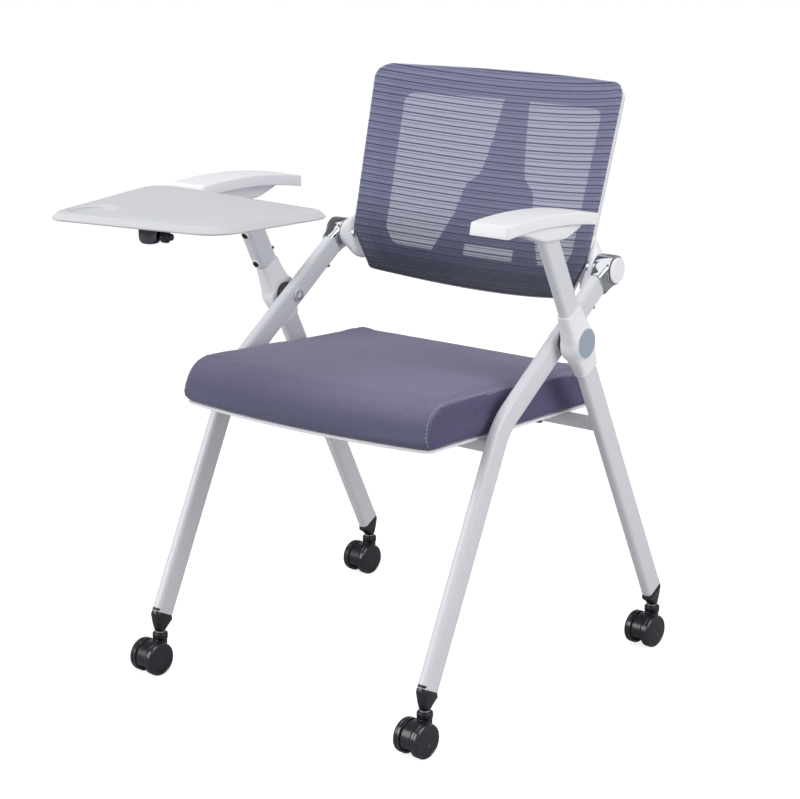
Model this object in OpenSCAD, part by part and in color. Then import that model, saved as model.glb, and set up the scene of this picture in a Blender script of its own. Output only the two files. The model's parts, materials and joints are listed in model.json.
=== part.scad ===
// Folding training chair on casters, with a writing tablet on the occupant's right side.
//
// X runs across the chair, -Y is its front and Z is up. The chair's own frame has its symmetry
// plane at x = 0, the front caster stems at y = 0 and the floor at z = 0. Every node is then
// moved by to_origin, which puts the middle of the whole footprint at the origin.
// "left" and "right" are the occupant's, so left is +X.

/* [Leg tubes] */
// Width of the leg tubes across the chair
tube_w = 16; // [14:1:18]
// Depth of the leg tubes, fore and aft
tube_d = 34; // [30:1:38]
// Radius of the leg tubes' rounded edges
tube_round = 6; // [4:0.5:7]
// Wall of all tubes
tube_wall = 1.5; // [1:0.25:2]
// Thickness of the spacer between a front leg and the cover on a rear leg
spacer_h = 8.9; // [6:0.1:14]
// Height of the cut end of a leg above the floor, at its centre
leg_end_z = 83; // [80:1:90]

/* [Front legs] */
// Slope of the lower part of a front leg
front_low_angle = 63.3; // [62:0.1:65]
// Slope of the upper part of a front leg
front_up_angle = 33.8; // [32:0.1:36]
// Fore and aft place of the front leg's bend
bend_y = 166; // [160:1:172]
// Height of the front leg's bend
bend_z = 403; // [399:1:408]
// Radius of the bend, at the middle of the tube
bend_r = 89; // [70:5:120]
// Distance along the tube from the bend to the folding pivot
hub_reach = 164.5; // [160:0.5:170]
// Distance along the tube from the folding pivot to the back joint
joint_reach = 139.5; // [135:0.5:145]

/* [Rear legs] */
// Slope of the rear legs
rear_angle = 117.3; // [116:0.1:118]
// Drop from the armrest's top to the rear leg's upper end, inside the arm bracket
rear_top_drop = 30; // [27:1:33]

/* [Folding pivot] */
// Radius of the pivot bolts
bolt_r = 5; // [4:0.5:6]
// Running clearance of the pivots, on the radius
run_fit = 0.05; // [0.02:0.01:0.1]
// Clearance between a cover or a plug and its tube
cover_fit = 0.1; // [0.05:0.05:0.3]
// Wall of the moulded hub cover
hub_wall = 4; // [3:0.5:5]
// Length of the hub cover above the pivot
hub_above = 54; // [50:1:60]
// Length of the hub cover below the pivot
hub_below = 47; // [40:1:55]
// Radius of the round boss of the hub cover
boss_r = 27; // [25:1:30]
// Radius of the disc that closes the boss
hub_cap_r = 20; // [18:1:23]

/* [Crossbars] */
// Outer radius of both crossbars
bar_r = 10; // [8.5:0.5:11]
// Fore and aft place of the rear crossbar
rear_bar_y = 370; // [366:1:374]
// Height of the rear crossbar
rear_bar_z = 363.5; // [362:0.5:365]
// Distance between the two crossbars
bar_gap = 202; // [196:1:206]

/* [Back joint] */
// Radius of the chrome barrel
barrel_r = 21; // [19:0.5:23]
// Length of the chrome barrel
barrel_len = 26; // [24:1:30]
// Distance from a front leg's centre line out to the barrel's outer end
barrel_out = 15; // [13:1:17]
// Radius of the recline shaft
shaft_r = 9; // [7:0.5:11]
// Radius of the white end cap
joint_cap_r = 18; // [16:0.5:18.5]

/* [Seat] */
// Rearward slope of the seat
seat_tilt = 2.5; // [1.5:0.5:3.5]
// Width of the cushion
seat_w = 430; // [420:1:434]
// Clear space between the cushion and each front leg
seat_side_gap = 12; // [8:1:16]
// Distance from the rear crossbar forward to the cushion's front
seat_front = 356; // [346:1:360]
// Distance from the rear crossbar back to the cushion's rear
seat_rear = 70; // [60:1:74]
// Thickness of the cushion above its pan
cushion_h = 60; // [50:1:66]
// Thickness of the seat pan
pan_h = 4; // [3:0.5:6]
// How far the pan stays inside the cushion's edge
pan_inset = 3; // [3:1:12]
// Radius of the seat's corners in plan
seat_corner = 10; // [8:1:30]
// How far the cushion's top stops short of its rear edge
seat_back_slope = 8; // [6:1:20]
// How much lower the cushion's top is at the rear than at the front
seat_rear_drop = 8; // [0:1:12]
// Radius of the bowed front edge in plan
seat_bow = 1000; // [650:10:1400]
// Half the distance between the seat's two hinges
seat_hinge_x = 150; // [110:5:180]

/* [Backrest] */
// Backward lean of the backrest
back_tilt = 17.8; // [16:0.1:20]
// Half width of the backrest at its top
back_top_x = 216; // [208:1:219]
// Half width of the backrest at its bottom
back_low_x = 206; // [198:1:209]
// Height of the backrest's top above the recline shaft
back_up = 256; // [250:1:300]
// Drop of the backrest's bottom below the recline shaft
back_down = 45; // [40:1:54]
// How far the middle of the backrest's top edge rises above its corners
back_top_bow = 16; // [0:1:24]
// How far the middle of the backrest's bottom edge drops below its corners
back_low_bow = 9; // [6:1:20]
// How far the backrest's lower corners are cut in beside the joints
back_cut = 30; // [20:1:40]
// How far the middle of the backrest lies behind its sides
back_sag = 60; // [30:1:70]
// Distance from the recline shaft forward to the mesh
mesh_forward = 13.5; // [12:0.5:18]
// Thickness of the solid that stands for the mesh
mesh_h = 1.6; // [1:0.2:2.4]
// Thickness of the dark inner frame
inner_frame_h = 5.5; // [4:0.5:8]
// Thickness of the white rear frame
rear_frame_h = 15; // [12:1:18]
// Width of the white frame's band
rear_band = 22; // [18:1:28]
// Width of the dark frame's band
inner_band = 22; // [16:1:28]
// Width of the light rim outside the dark frame
rim_band = 18; // [12:1:24]
// How far the mesh stays inside the white frame's edge
mesh_inset = 4; // [1.5:0.5:6]

/* [Armrests] */
// Width of an armrest
arm_w = 62; // [54:1:64]
// Distance from a rear leg's centre line in to the armrest's inner edge
arm_inset = 38.7; // [34:0.1:40]
// Fore and aft place of an armrest's front end
arm_front_y = 100; // [97:1:110]
// Length of an armrest
arm_len = 216; // [200:1:230]
// Thickness of an armrest
arm_h = 16; // [13:1:18]
// Height of an armrest's highest point
arm_top_z = 685; // [683:1:688]
// Radius of the armrest's arched top
arm_arch_r = 809; // [700:1:1000]
// Fore and aft place of the armrest's highest point
arm_peak_y = 163.6; // [158:0.2:170]
// Width of the bracket under an armrest
bracket_w = 30; // [26:1:34]

/* [Writing tablet] */
// Height of the tablet's top face
tablet_top_z = 681; // [679:1:683]
// Thickness of the tablet
tablet_h = 11; // [10:0.5:14]
// How far the tablet's slanting side reaches out from its top face
tablet_slant = 6.5; // [3:0.5:8]
// Radius of the cup recess
cup_r = 30; // [26:1:32]
// Depth of the cup recess
cup_depth = 5.5; // [4:0.5:7]
// Width of the bevel around the cup recess
cup_bevel = 3.5; // [2:0.5:4]
// Width of the pen groove
groove_w = 8; // [6:1:11]
// Depth of the pen groove
groove_depth = 3; // [2:0.5:4]
// Drop from the tablet's top to the axis that it flips up about
flip_drop = 55; // [53:1:58]
// Radius of the flip hinge's pin
flip_pin_r = 6; // [5:0.5:7]
// Radius of the swivel housing
swivel_r = 15; // [13:1:18]
// Height of the swivel housing
housing_h = 32.5; // [28:0.5:36]
// Radius of the swivel spigot
spigot_r = 8; // [6:0.5:10]

/* [Casters] */
// Radius of the caster wheels
wheel_r = 24; // [22:0.5:26]
// Overall width of a twin-wheel caster
caster_w = 42; // [38:0.5:46]
// Width of one wheel
wheel_w = 12; // [10:0.5:14]
// Trail from the swivel stem to the wheel axle
trail = 17; // [15:0.5:22]
// Radius of the wheel axle
axle_r = 4; // [3:0.5:5]
// Radius of the swivel stem
stem_r = 5.5; // [4.5:0.5:5.5]
// Angle that each caster is turned to
caster_turn = -5; // [-12:1:12]
// Fore and aft distance between the front and rear stems
wheelbase = 519.5; // [516:0.5:523]

/* [Hidden] */
$fn = 96;

white_tube = "#dcdce0";
white_plastic = "#e6e8ea";
dark_plastic = "#2a2b33";
black_plastic = "#1b1e27";
bright_steel = "#b8bcc4";
fabric_colour = "#6f6b84";

// Gap between pieces of different bodies that pass each other
gap = 0.3;
// Cut that runs past a face, so that no skin is left on it
over = 1;

// Places in the side view, as [y, z]
bend = [bend_y, bend_z];
hub = bend + hub_reach * ray(front_up_angle);
joint = hub + joint_reach * ray(front_up_angle);
rear_bar = [rear_bar_y, rear_bar_z];
front_bar = rear_bar - bar_gap * [cos(seat_tilt), -sin(seat_tilt)];
bend_turn = front_low_angle - front_up_angle;
bend_run = bend_r * tan(bend_turn / 2);
front_low_len = (bend_z - leg_end_z) / sin(front_low_angle);
front_end = bend - front_low_len * ray(front_low_angle);
rear_top_z = arm_top_z - rear_top_drop;
rear_low_len = (hub[1] - leg_end_z) / sin(rear_angle);
rear_up_len = (rear_top_z - hub[1]) / sin(rear_angle);
rear_end = hub - rear_low_len * ray(rear_angle);

// Stations across the chair, measured from its middle
front_leg_x = seat_w / 2 + seat_side_gap + tube_w / 2;
front_inner_x = front_leg_x - tube_w / 2;
front_outer_x = front_leg_x + tube_w / 2;
cover_inner_x = front_outer_x + spacer_h + gap;
rear_inner_x = cover_inner_x + hub_wall;
rear_leg_x = rear_inner_x + tube_w / 2;
rear_outer_x = rear_inner_x + tube_w;
cover_outer_x = rear_outer_x + hub_wall;
boss_outer_x = rear_outer_x + 6;
hub_cap_h = 2;
bolt_head_h = 4.5;
nut_h = 3.2;
nut_r = 9;
barrel_outer_x = front_leg_x + barrel_out;
barrel_inner_x = barrel_outer_x - barrel_len;
neck_w = tube_w + 4;
neck_d = tube_d + 4;
neck_gap = barrel_r + 8;
joint_screw_reach = neck_gap + 26;
plug_len = 24;
bush_r = shaft_r + 6;

// Foot plugs and casters
neck_r = 7.5;
neck_z = 58.5;
stem_top_z = leg_end_z + 1;
plug_flange_h = 1.5;
neck_h = 3;
ring_h = 2;
collar_r = 11;
collar_top_z = neck_z - ring_h - gap;
collar_bottom_z = 2 * wheel_r + gap;
stem_bottom_z = collar_bottom_z - 12;
hood_w = caster_w - 2 * wheel_w - 2 * gap;
hood_r = wheel_r - 1.5;
hood_hub_r = 10;
hood_front_z = wheel_r - 5;

// The armrest's arch is part of a large cylinder across the chair
arch = [arm_peak_y, arm_top_z - arm_arch_r];
arch_fn = 360;
arm_inner_x = rear_leg_x - arm_inset;
arm_x = arm_inner_x + arm_w / 2;
arm_round = 5;
arm_screw_r = 2.5;
arm_screw_at = [arm_front_y + arm_len / 3, arm_front_y + 0.8 * arm_len];
arm_screw_bottom = arm_top_z - arm_h - 17;
arm_screw_top = arm_top_z - arm_h / 2 - 4;

// Seat and backrest
pan_bottom = bar_r + 0.5;
pan_top = pan_bottom + pan_h;
hinge_w = 24;
flange_h = 3;
seat_screw_r = 3;
seat_screw_y = 30;
inner_frame_y = mesh_h - mesh_forward;
rear_frame_y = inner_frame_y + inner_frame_h;
boss_end_x = barrel_inner_x - gap;
shaft_from_x = back_low_x;
bow_step = 45;
back_radii = [8, 30, 22];
low_band = 35;
// The backrest is curved about an upright axis ahead of it, at its middle height
back_side_x = (back_top_x + back_low_x) / 2;
back_curve_r = (pow(back_side_x, 2) + pow(back_sag, 2)) / (2 * back_sag);
back_depth = back_sag + rear_frame_y + rear_frame_h;
back_rear_y = joint[0] + (back_up + back_top_bow) * sin(back_tilt) + back_depth * cos(back_tilt);
back_screw_r = 4;
back_screw_h = 1.6;

// Writing tablet: corners of its outline, and the radius that rounds each
tablet_corners = [[-260, -164], [0, -120], [27, 74], [-310, 97]];
tablet_radii = [20, 48, 18, 28];
tablet_bottom_z = tablet_top_z - tablet_h;
cup = [-228, -110];
groove_from = [-171, -131];
groove_to = [-20, -99];
swivel = [-172, -62];
flip_x = -rear_leg_x;
flip_z = tablet_top_z - flip_drop;
flip_front_y = 166;
plate_w = 64;
plate_h = 3;
plate_top_z = tablet_bottom_z;
plate_screw_at = 22;
plate_screw_r = 2;
plate_screw_bite = 5;
housing_top_z = plate_top_z - plate_h - gap;
housing_bottom_z = housing_top_z - housing_h;
arm_bar_w = 22;
arm_bar_h = 11;
knob_angle = 20;
knob_z = housing_bottom_z + 10;
spindle_r = 3.5;
channel_wall = 2.5;
channel_flange = 20;
channel_from = hub_above + 11;
channel_to = rear_up_len - 14;
flip_boss_len = 54;
bracket_bolt_r = 2.5;
bracket_bolt_at = [channel_from + 1, channel_from + 52];
flip_boss_r = flip_pin_r + 6;
flip_pin_reach = 34;

// Casters: the floor place of each stem, and how far a turned wheel reaches outward of it
caster_fl = [front_leg_x, 0];
caster_fr = [-front_leg_x, 0];
caster_rl = [rear_leg_x, wheelbase];
caster_rr = [-rear_leg_x, wheelbase];
wheel_reach = caster_w / 2 * cos(caster_turn) +
    max((trail + wheel_r) * sin(caster_turn), (trail - wheel_r) * sin(caster_turn));

// The footprint runs from the tablet's outer side to the left armrest or wheel, and from the
// tablet's front corner to the collars of the rear casters or the top of the backrest
tablet_edge = round_corners(tablet_corners, tablet_radii);
footprint_x = [
    min([for (c = tablet_edge) c[0]]), max(arm_inner_x + arm_w, rear_leg_x + wheel_reach)];
footprint_y = [min([for (c = tablet_edge) c[1]]), max(wheelbase + collar_r, back_rear_y)];
to_origin = [-(footprint_x[0] + footprint_x[1]) / 2, -(footprint_y[0] + footprint_y[1]) / 2, 0];

// ---- helpers ----

// Unit vector at an angle
function ray(angle) = [cos(angle), sin(angle)];

// Outline of a rectangle with rounded corners, around its middle
function rounded_rect(w, d, r, steps = 5) = round_corners(
    [[w / 2, d / 2], [-w / 2, d / 2], [-w / 2, -d / 2], [w / 2, -d / 2]], [r, r, r, r], steps);

// Points of a convex outline, listed counter-clockwise, with each corner rounded
function round_corners(points, radii, steps = 8) = [
    for (i = [0 : len(points) - 1])
        let (
            n = len(points),
            corner = points[i],
            back = points[(i + n - 1) % n] - corner,
            ahead = points[(i + 1) % n] - corner,
            u = back / norm(back),
            v = ahead / norm(ahead),
            half = acos(u * v) / 2,
            centre = corner + (u + v) / norm(u + v) * radii[i] / sin(half),
            start = corner + u * radii[i] / tan(half) - centre,
            first = atan2(start[1], start[0])
        )
        for (k = [0 : steps]) centre + radii[i] * ray(first + k * (180 - 2 * half) / steps)
];

// Section of a leg tube, shrunk by inset on every side: width along x, depth along y
module tube_section(inset = 0) {
    polygon(rounded_rect(tube_w - 2 * inset, tube_d - 2 * inset, tube_round - inset));
}

module tube_wall_section() {
    difference() {
        tube_section();
        tube_section(tube_wall);
    }
}

// Puts a child at a place in the side view, with its z axis along the given slope
module in_side_view(x, place, angle) {
    translate([x, place[0], place[1]]) rotate([angle - 90, 0, 0]) children();
}

// A round bar across the chair, between two stations
module cross_cylinder(place, r, from_x, to_x, sides = 96) {
    translate([min(from_x, to_x), place[0], place[1]])
        rotate([0, 90, 0]) cylinder(r = r, h = abs(to_x - from_x), $fn = sides);
}

// Draws the left-hand piece, or its mirror image on the right
module on_side(side) {
    if (side > 0) children();
    else mirror([1, 0, 0]) children();
}

module both_sides() {
    children();
    mirror([1, 0, 0]) children();
}

module in_seat() {
    translate([0, rear_bar[0], rear_bar[1]]) rotate([-seat_tilt, 0, 0]) children();
}

module in_back() {
    translate([0, joint[0], joint[1]]) rotate([-back_tilt, 0, 0]) children();
}

// ---- front frame ----

// A front leg: a straight lower part, a bend, and a straight upper part up to the back joint
module front_leg(side) {
    color(white_tube) translate(to_origin) on_side(side) difference() {
        union() {
            in_side_view(front_leg_x, front_end, front_low_angle)
                linear_extrude(front_low_len - bend_run) tube_wall_section();
            translate([front_leg_x, bend_y, bend_z]) rotate([90, 0, 90])
                translate(bend_r * ray(front_low_angle - 90) - bend_run * ray(front_low_angle))
                    rotate([0, 0, front_up_angle + 90]) rotate_extrude(angle = bend_turn)
                        translate([bend_r, 0]) rotate(90) tube_wall_section();
            in_side_view(front_leg_x, bend + bend_run * ray(front_up_angle), front_up_angle)
                linear_extrude(hub_reach + joint_reach - neck_gap - bend_run) tube_wall_section();
        }
        cross_cylinder(hub, bolt_r + run_fit, front_inner_x - over, front_outer_x + over);
    }
}

module front_crossbar() {
    color(white_tube) translate(to_origin) difference() {
        cross_cylinder(front_bar, bar_r, -front_inner_x, front_inner_x);
        cross_cylinder(front_bar, bar_r - tube_wall, -front_inner_x - over, front_inner_x + over);
    }
}

// The chrome joint: a barrel across the chair, a neck, and a plug that fills the tube's end
module back_joint(side) {
    color(bright_steel) translate(to_origin) on_side(side) difference() {
        union() {
            cross_cylinder(joint, barrel_r, barrel_inner_x, barrel_outer_x);
            in_side_view(front_leg_x, joint - neck_gap * ray(front_up_angle), front_up_angle) {
                linear_extrude(neck_gap)
                    polygon(rounded_rect(neck_w, neck_d, tube_round + 2));
                translate([0, 0, -plug_len]) linear_extrude(plug_len + over)
                    tube_section(tube_wall + cover_fit);
            }
        }
        cross_cylinder(joint, bush_r + run_fit, barrel_inner_x - over, barrel_outer_x + over);
    }
}

module back_joint_caps() {
    color(white_plastic) translate(to_origin) both_sides() {
        translate([barrel_outer_x, joint[0], joint[1]]) rotate([0, 90, 0]) {
            cylinder(r = joint_cap_r, h = 1.5);
            translate([0, 0, 1.5]) cylinder(r1 = joint_cap_r, r2 = joint_cap_r - 2.5, h = 1.5);
        }
    }
}

// Bearing bushes between the recline shafts and the barrels
module recline_bushes() {
    color("#55565c") translate(to_origin) both_sides() difference() {
        cross_cylinder(joint, bush_r, barrel_inner_x, barrel_outer_x);
        cross_cylinder(joint, shaft_r + run_fit, barrel_inner_x - over, barrel_outer_x + over);
    }
}

// Set screws that stand out under the upper ends of the front legs
module joint_screws() {
    color("#3a3c44") translate(to_origin) both_sides()
        in_side_view(front_leg_x, joint - joint_screw_reach * ray(front_up_angle), front_up_angle)
            translate([0, tube_d / 2, 0]) rotate([-90, 0, 0]) cylinder(r = 3, h = 5);
}

module hub_bolts() {
    color(bright_steel) translate(to_origin) both_sides() {
        cross_cylinder(hub, bolt_r, front_inner_x - over, boss_outer_x - hub_cap_h - gap);
        cross_cylinder(hub, bolt_r + 4, front_inner_x - bolt_head_h, front_inner_x);
    }
}

module hub_nuts() {
    color(bright_steel) translate(to_origin) both_sides() difference() {
        cross_cylinder(hub, nut_r, rear_outer_x + gap, rear_outer_x + gap + nut_h, 6);
        cross_cylinder(hub, bolt_r + run_fit, rear_outer_x - over, rear_outer_x + nut_h + over);
    }
}

// Washers that keep the front and rear legs apart
module hub_spacers() {
    color(dark_plastic) translate(to_origin) both_sides() difference() {
        cross_cylinder(hub, tube_d / 2, front_outer_x, front_outer_x + spacer_h);
        cross_cylinder(hub, bolt_r + run_fit, front_outer_x - over, cover_inner_x + over);
    }
}

// A foot plug fills the cut end of a leg and tapers to the socket of the caster's stem
module foot_plug(leg_x, end, angle, stem_y) {
    difference() {
        union() {
            in_side_view(leg_x, end - plug_flange_h / 2 * ray(angle), angle)
                linear_extrude(plug_len) tube_section(tube_wall + cover_fit);
            hull() {
                in_side_view(leg_x, end - plug_flange_h * ray(angle), angle)
                    linear_extrude(plug_flange_h) tube_section();
                translate([leg_x, stem_y, neck_z]) cylinder(r = neck_r, h = neck_h, $fn = 32);
            }
        }
        translate([leg_x, stem_y, neck_z - over])
            cylinder(r = stem_r + run_fit, h = stem_top_z - neck_z + 2 * over);
    }
}

module front_foot_plugs() {
    color(black_plastic) translate(to_origin) both_sides()
        foot_plug(front_leg_x, front_end, front_low_angle, 0);
}

// ---- rear frame ----

// A rear leg: one straight tube from the rear caster to the armrest
module rear_leg(side) {
    color(white_tube) translate(to_origin) difference() {
        on_side(side) difference() {
            in_side_view(rear_leg_x, rear_end, rear_angle)
                linear_extrude(rear_low_len + rear_up_len) tube_wall_section();
            cross_cylinder(hub, bolt_r + run_fit, rear_inner_x - over, rear_outer_x + over);
        }
        if (side < 0) bracket_bolt_holes();
    }
}

module rear_crossbar() {
    color(white_tube) translate(to_origin) difference() {
        cross_cylinder(rear_bar, bar_r, -rear_inner_x, rear_inner_x);
        cross_cylinder(rear_bar, bar_r - tube_wall, -rear_inner_x - over, rear_inner_x + over);
    }
}

module rear_foot_plugs() {
    color(black_plastic) translate(to_origin) both_sides()
        foot_plug(rear_leg_x, rear_end, rear_angle, wheelbase);
}

// The moulded cover of the folding pivot: a sleeve on the rear leg with a round boss
module hub_cover(side) {
    color(white_plastic) translate(to_origin) on_side(side) difference() {
        union() {
            in_side_view(rear_leg_x, hub - hub_below * ray(rear_angle), rear_angle)
                linear_extrude(hub_below + hub_above) polygon(rounded_rect(
                    cover_outer_x - cover_inner_x, tube_d + 2 * hub_wall, tube_round + 3));
            cross_cylinder(hub, boss_r, cover_inner_x, boss_outer_x);
        }
        in_side_view(rear_leg_x, hub - (hub_below + over) * ray(rear_angle), rear_angle)
            linear_extrude(hub_below + hub_above + 2 * over) tube_section(-cover_fit);
        cross_cylinder(hub, bolt_r + gap, cover_inner_x - over, boss_outer_x + over);
        cross_cylinder(hub, nut_r + 2, rear_leg_x, boss_outer_x + over);
        cross_cylinder(hub, hub_cap_r + cover_fit, boss_outer_x - hub_cap_h, boss_outer_x + over);
    }
}

module hub_caps() {
    color("#9fabb8") translate(to_origin) both_sides()
        cross_cylinder(hub, hub_cap_r, boss_outer_x - hub_cap_h, boss_outer_x + 0.8);
}

// The wedge under an armrest, with a socket for the leg's upper end
module arm_bracket(side) {
    under_z = arm_top_z - arm_h;
    ahead = 0.365 * arm_len;
    behind = 0.29 * arm_len;
    leg_y = hub[0] + (under_z - 20 - hub[1]) / tan(rear_angle);
    color(white_plastic) translate(to_origin) on_side(side) difference() {
        intersection() {
            translate([rear_leg_x - bracket_w / 2, 0, 0]) rotate([90, 0, 90])
                linear_extrude(bracket_w) polygon([
                    [leg_y - ahead, arm_top_z], [leg_y - ahead, under_z - 1],
                    [leg_y - 0.3 * ahead, under_z - 21], [leg_y + 0.4 * behind, under_z - 24],
                    [leg_y + behind, under_z - 7], [leg_y + behind, arm_top_z],
                ]);
            cross_cylinder(arch, arm_arch_r - arm_h, rear_inner_x - bracket_w,
                rear_outer_x + bracket_w, arch_fn);
        }
        in_side_view(rear_leg_x, hub, rear_angle) linear_extrude(rear_up_len)
            tube_section(-cover_fit);
        arm_screw_holes();
    }
}

module arm_screw_holes() {
    below = 12;
    for (y = arm_screw_at) translate([rear_leg_x, y, arm_screw_bottom - below])
        cylinder(r = arm_screw_r + run_fit, h = arm_screw_top - arm_screw_bottom + below);
}

// An armrest pad, arched from front to rear
module armrest(side) {
    from_x = arm_inner_x - over;
    to_x = arm_inner_x + arm_w + over;
    color(white_plastic) translate(to_origin) on_side(side) difference() {
        intersection() {
            translate([arm_x, arm_front_y + arm_len / 2, arm_top_z - 3 * arm_h])
                linear_extrude(4 * arm_h) polygon(rounded_rect(arm_w, arm_len, arm_round, 8));
            difference() {
                cross_cylinder(arch, arm_arch_r, from_x, to_x, arch_fn);
                cross_cylinder(arch, arm_arch_r - arm_h, from_x - over, to_x + over, arch_fn);
            }
        }
        arm_screw_holes();
    }
}

module arm_screws() {
    color(bright_steel) translate(to_origin) both_sides() for (y = arm_screw_at)
        translate([rear_leg_x, y, arm_screw_bottom])
            cylinder(r = arm_screw_r, h = arm_screw_top - arm_screw_bottom - gap);
}

// ---- tablet support on the right rear leg ----

module bracket_bolt_holes() {
    for (at = bracket_bolt_at)
        in_side_view(-rear_leg_x, hub + at * ray(rear_angle), rear_angle)
            translate([0, -tube_d, 0]) rotate([-90, 0, 0])
                cylinder(r = bracket_bolt_r + run_fit, h = 2 * tube_d);
}

// A steel channel around the front of the leg, with the boss of the flip hinge
module tablet_bracket() {
    web_y = -tube_d / 2 - cover_fit - channel_wall;
    channel_w = tube_w + 2 * (cover_fit + channel_wall);
    color(white_tube) translate(to_origin) difference() {
        union() {
            in_side_view(-rear_leg_x, hub, rear_angle) {
                translate([-channel_w / 2, web_y, channel_from])
                    cube([channel_w, channel_flange, channel_to - channel_from]);
                translate([0, web_y, channel_from]) rotate([-90, 0, 0])
                    cylinder(r = channel_w / 2, h = channel_wall);
            }
            translate([flip_x, flip_front_y + gap, flip_z]) rotate([-90, 0, 0])
                cylinder(r = flip_boss_r, h = flip_boss_len);
        }
        in_side_view(-rear_leg_x, hub, rear_angle) {
            linear_extrude(channel_to + 40) tube_section(-cover_fit);
            translate([-channel_w, web_y + channel_flange, channel_from - 20])
                cube([2 * channel_w, tube_d, channel_to + 40]);
        }
        translate([flip_x, flip_front_y, flip_z]) rotate([-90, 0, 0])
            cylinder(r = flip_pin_r + run_fit, h = flip_pin_reach + 2);
        bracket_bolt_holes();
    }
}

module tablet_bracket_bolts() {
    head_y = -tube_d / 2 - cover_fit - channel_wall;
    color("#2b2d35") translate(to_origin) for (at = bracket_bolt_at)
        in_side_view(-rear_leg_x, hub + at * ray(rear_angle), rear_angle) {
            translate([0, head_y - 2, 0]) rotate([-90, 0, 0]) cylinder(r = 4.5, h = 2);
            translate([0, head_y - 1, 0]) rotate([-90, 0, 0])
                cylinder(r = bracket_bolt_r, h = tube_d / 2 - head_y + 6);
        }
}

// ---- seat ----

// Plan of the seat, shrunk by inset, with its front edge bowed forward
module seat_plan(inset) {
    w = seat_w - 2 * inset;
    d = seat_front + seat_rear - 2 * inset;
    intersection() {
        translate([0, (seat_rear - seat_front) / 2])
            polygon(rounded_rect(w, d, seat_corner - inset, 8));
        translate([0, seat_bow - seat_front + inset]) circle(r = seat_bow, $fn = arch_fn);
    }
}

module seat_pan() {
    color(white_plastic) translate(to_origin) in_seat() difference() {
        translate([0, 0, pan_bottom]) linear_extrude(pan_h) seat_plan(pan_inset);
        seat_screw_holes();
    }
}

// Side view of the cushion at a station: a full roll at the front and a sloping rear
function cushion_profile(x, inset) =
    let (
        r = cushion_h / 2 - inset,
        low = pan_top + inset,
        high = pan_top + cushion_h - inset,
        front = [x * x / (2 * seat_bow) - seat_front + inset + r, pan_top + cushion_h / 2],
        rear = seat_rear - inset
    )
    concat(
        [for (k = [0 : 8]) front + r * ray(90 + k * 22.5)],
        [[rear - 3, low], [rear, low + 5], [rear, low + cushion_h / 2],
            [rear - seat_back_slope, high - seat_rear_drop - 1],
            [rear - seat_back_slope - 3, high - seat_rear_drop]]);

// The cushion: its top rolls over the front, and its sides are flat
module seat_cushion() {
    slab = 0.5;
    half = seat_w / 2;
    edge = 3;
    color(fabric_colour) translate(to_origin) in_seat() hull()
        for (at = [[half, edge], [half - edge, 0], [half / 2, 0], [0, 0]], side = [-1, 1])
            translate([side * at[0] - (side + 1) / 2 * slab, 0, 0]) rotate([90, 0, 90])
                linear_extrude(slab) polygon(cushion_profile(at[0], at[1]));
}

module seat_screw_holes() {
    for (x = [-seat_hinge_x, seat_hinge_x], y = [-seat_screw_y, seat_screw_y])
        translate([x, y, 0]) cylinder(r = seat_screw_r + run_fit, h = pan_top + over);
}

// Hinges that hold the seat on the rear crossbar
module seat_hinges() {
    color(dark_plastic) translate(to_origin) in_seat() for (x = [-seat_hinge_x, seat_hinge_x])
        difference() {
            union() {
                translate([x - hinge_w / 2, -seat_screw_y - 10, pan_bottom - flange_h])
                    cube([hinge_w, 2 * seat_screw_y + 20, flange_h]);
                translate([x - hinge_w / 2, 0, 0]) rotate([0, 90, 0])
                    cylinder(r = bar_r + 4, h = hinge_w);
            }
            translate([x - hinge_w, 0, 0]) rotate([0, 90, 0])
                cylinder(r = bar_r + run_fit, h = 2 * hinge_w);
            translate([x - hinge_w, -bar_r - 10, pan_bottom])
                cube([2 * hinge_w, 2 * bar_r + 20, 10]);
            seat_screw_holes();
        }
}

// Open saddles that drop onto the front crossbar: each is two wedges, one on either side of it
module seat_saddles() {
    flank = (bar_r + gap) * sqrt(2);
    low = bar_r * 0.4;
    color(dark_plastic) translate(to_origin) in_seat()
        for (x = [-seat_hinge_x, seat_hinge_x], side = [-1, 1])
            translate([x - hinge_w / 2, -bar_gap, 0]) rotate([90, 0, 90]) linear_extrude(hinge_w)
                polygon([[side * (bar_r + 5), low], [side * (flank - low), low],
                    [side * (flank - pan_bottom), pan_bottom], [side * (bar_r + 5), pan_bottom]]);
}

module seat_screws() {
    color(bright_steel) translate(to_origin) in_seat()
        for (x = [-seat_hinge_x, seat_hinge_x], y = [-seat_screw_y, seat_screw_y])
            translate([x, y, pan_bottom - flange_h]) {
                cylinder(r = seat_screw_r, h = pan_h + flange_h - gap);
                translate([0, 0, -2]) cylinder(r = 5.5, h = 2);
            }
}

// ---- backrest ----

// Outline of the backrest, seen square on and shrunk by inset. Its lower corners are cut off
// beside the joints
module back_outline(inset) {
    corners = both_edges([
        [back_low_x - back_cut, -back_down], [back_low_x, 1.65 * back_cut - back_down],
        [back_top_x, back_up]]);
    radii = [for (k = [0, 1, 2, 2, 1, 0]) back_radii[k]];
    offset(delta = -inset)
        polygon([for (p = refined(round_corners(corners, radii), bow_step)) [p[0], p[1] + bow(p)]]);
}

// Rise or drop of a point of the backrest from its bowed edges
function bow(p) = (1 - pow(p[0] / back_top_x, 2)) *
    (p[1] > 0 ? back_top_bow * p[1] / back_up : back_low_bow * p[1] / back_down);

// Points of an outline, with more of them on every side longer than a step
function refined(points, step) = [
    for (i = [0 : len(points) - 1])
        let (
            from = points[i],
            run = points[(i + 1) % len(points)] - from,
            n = ceil(norm(run) / step)
        )
        for (k = [0 : n - 1]) from + run * k / n
];

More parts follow.
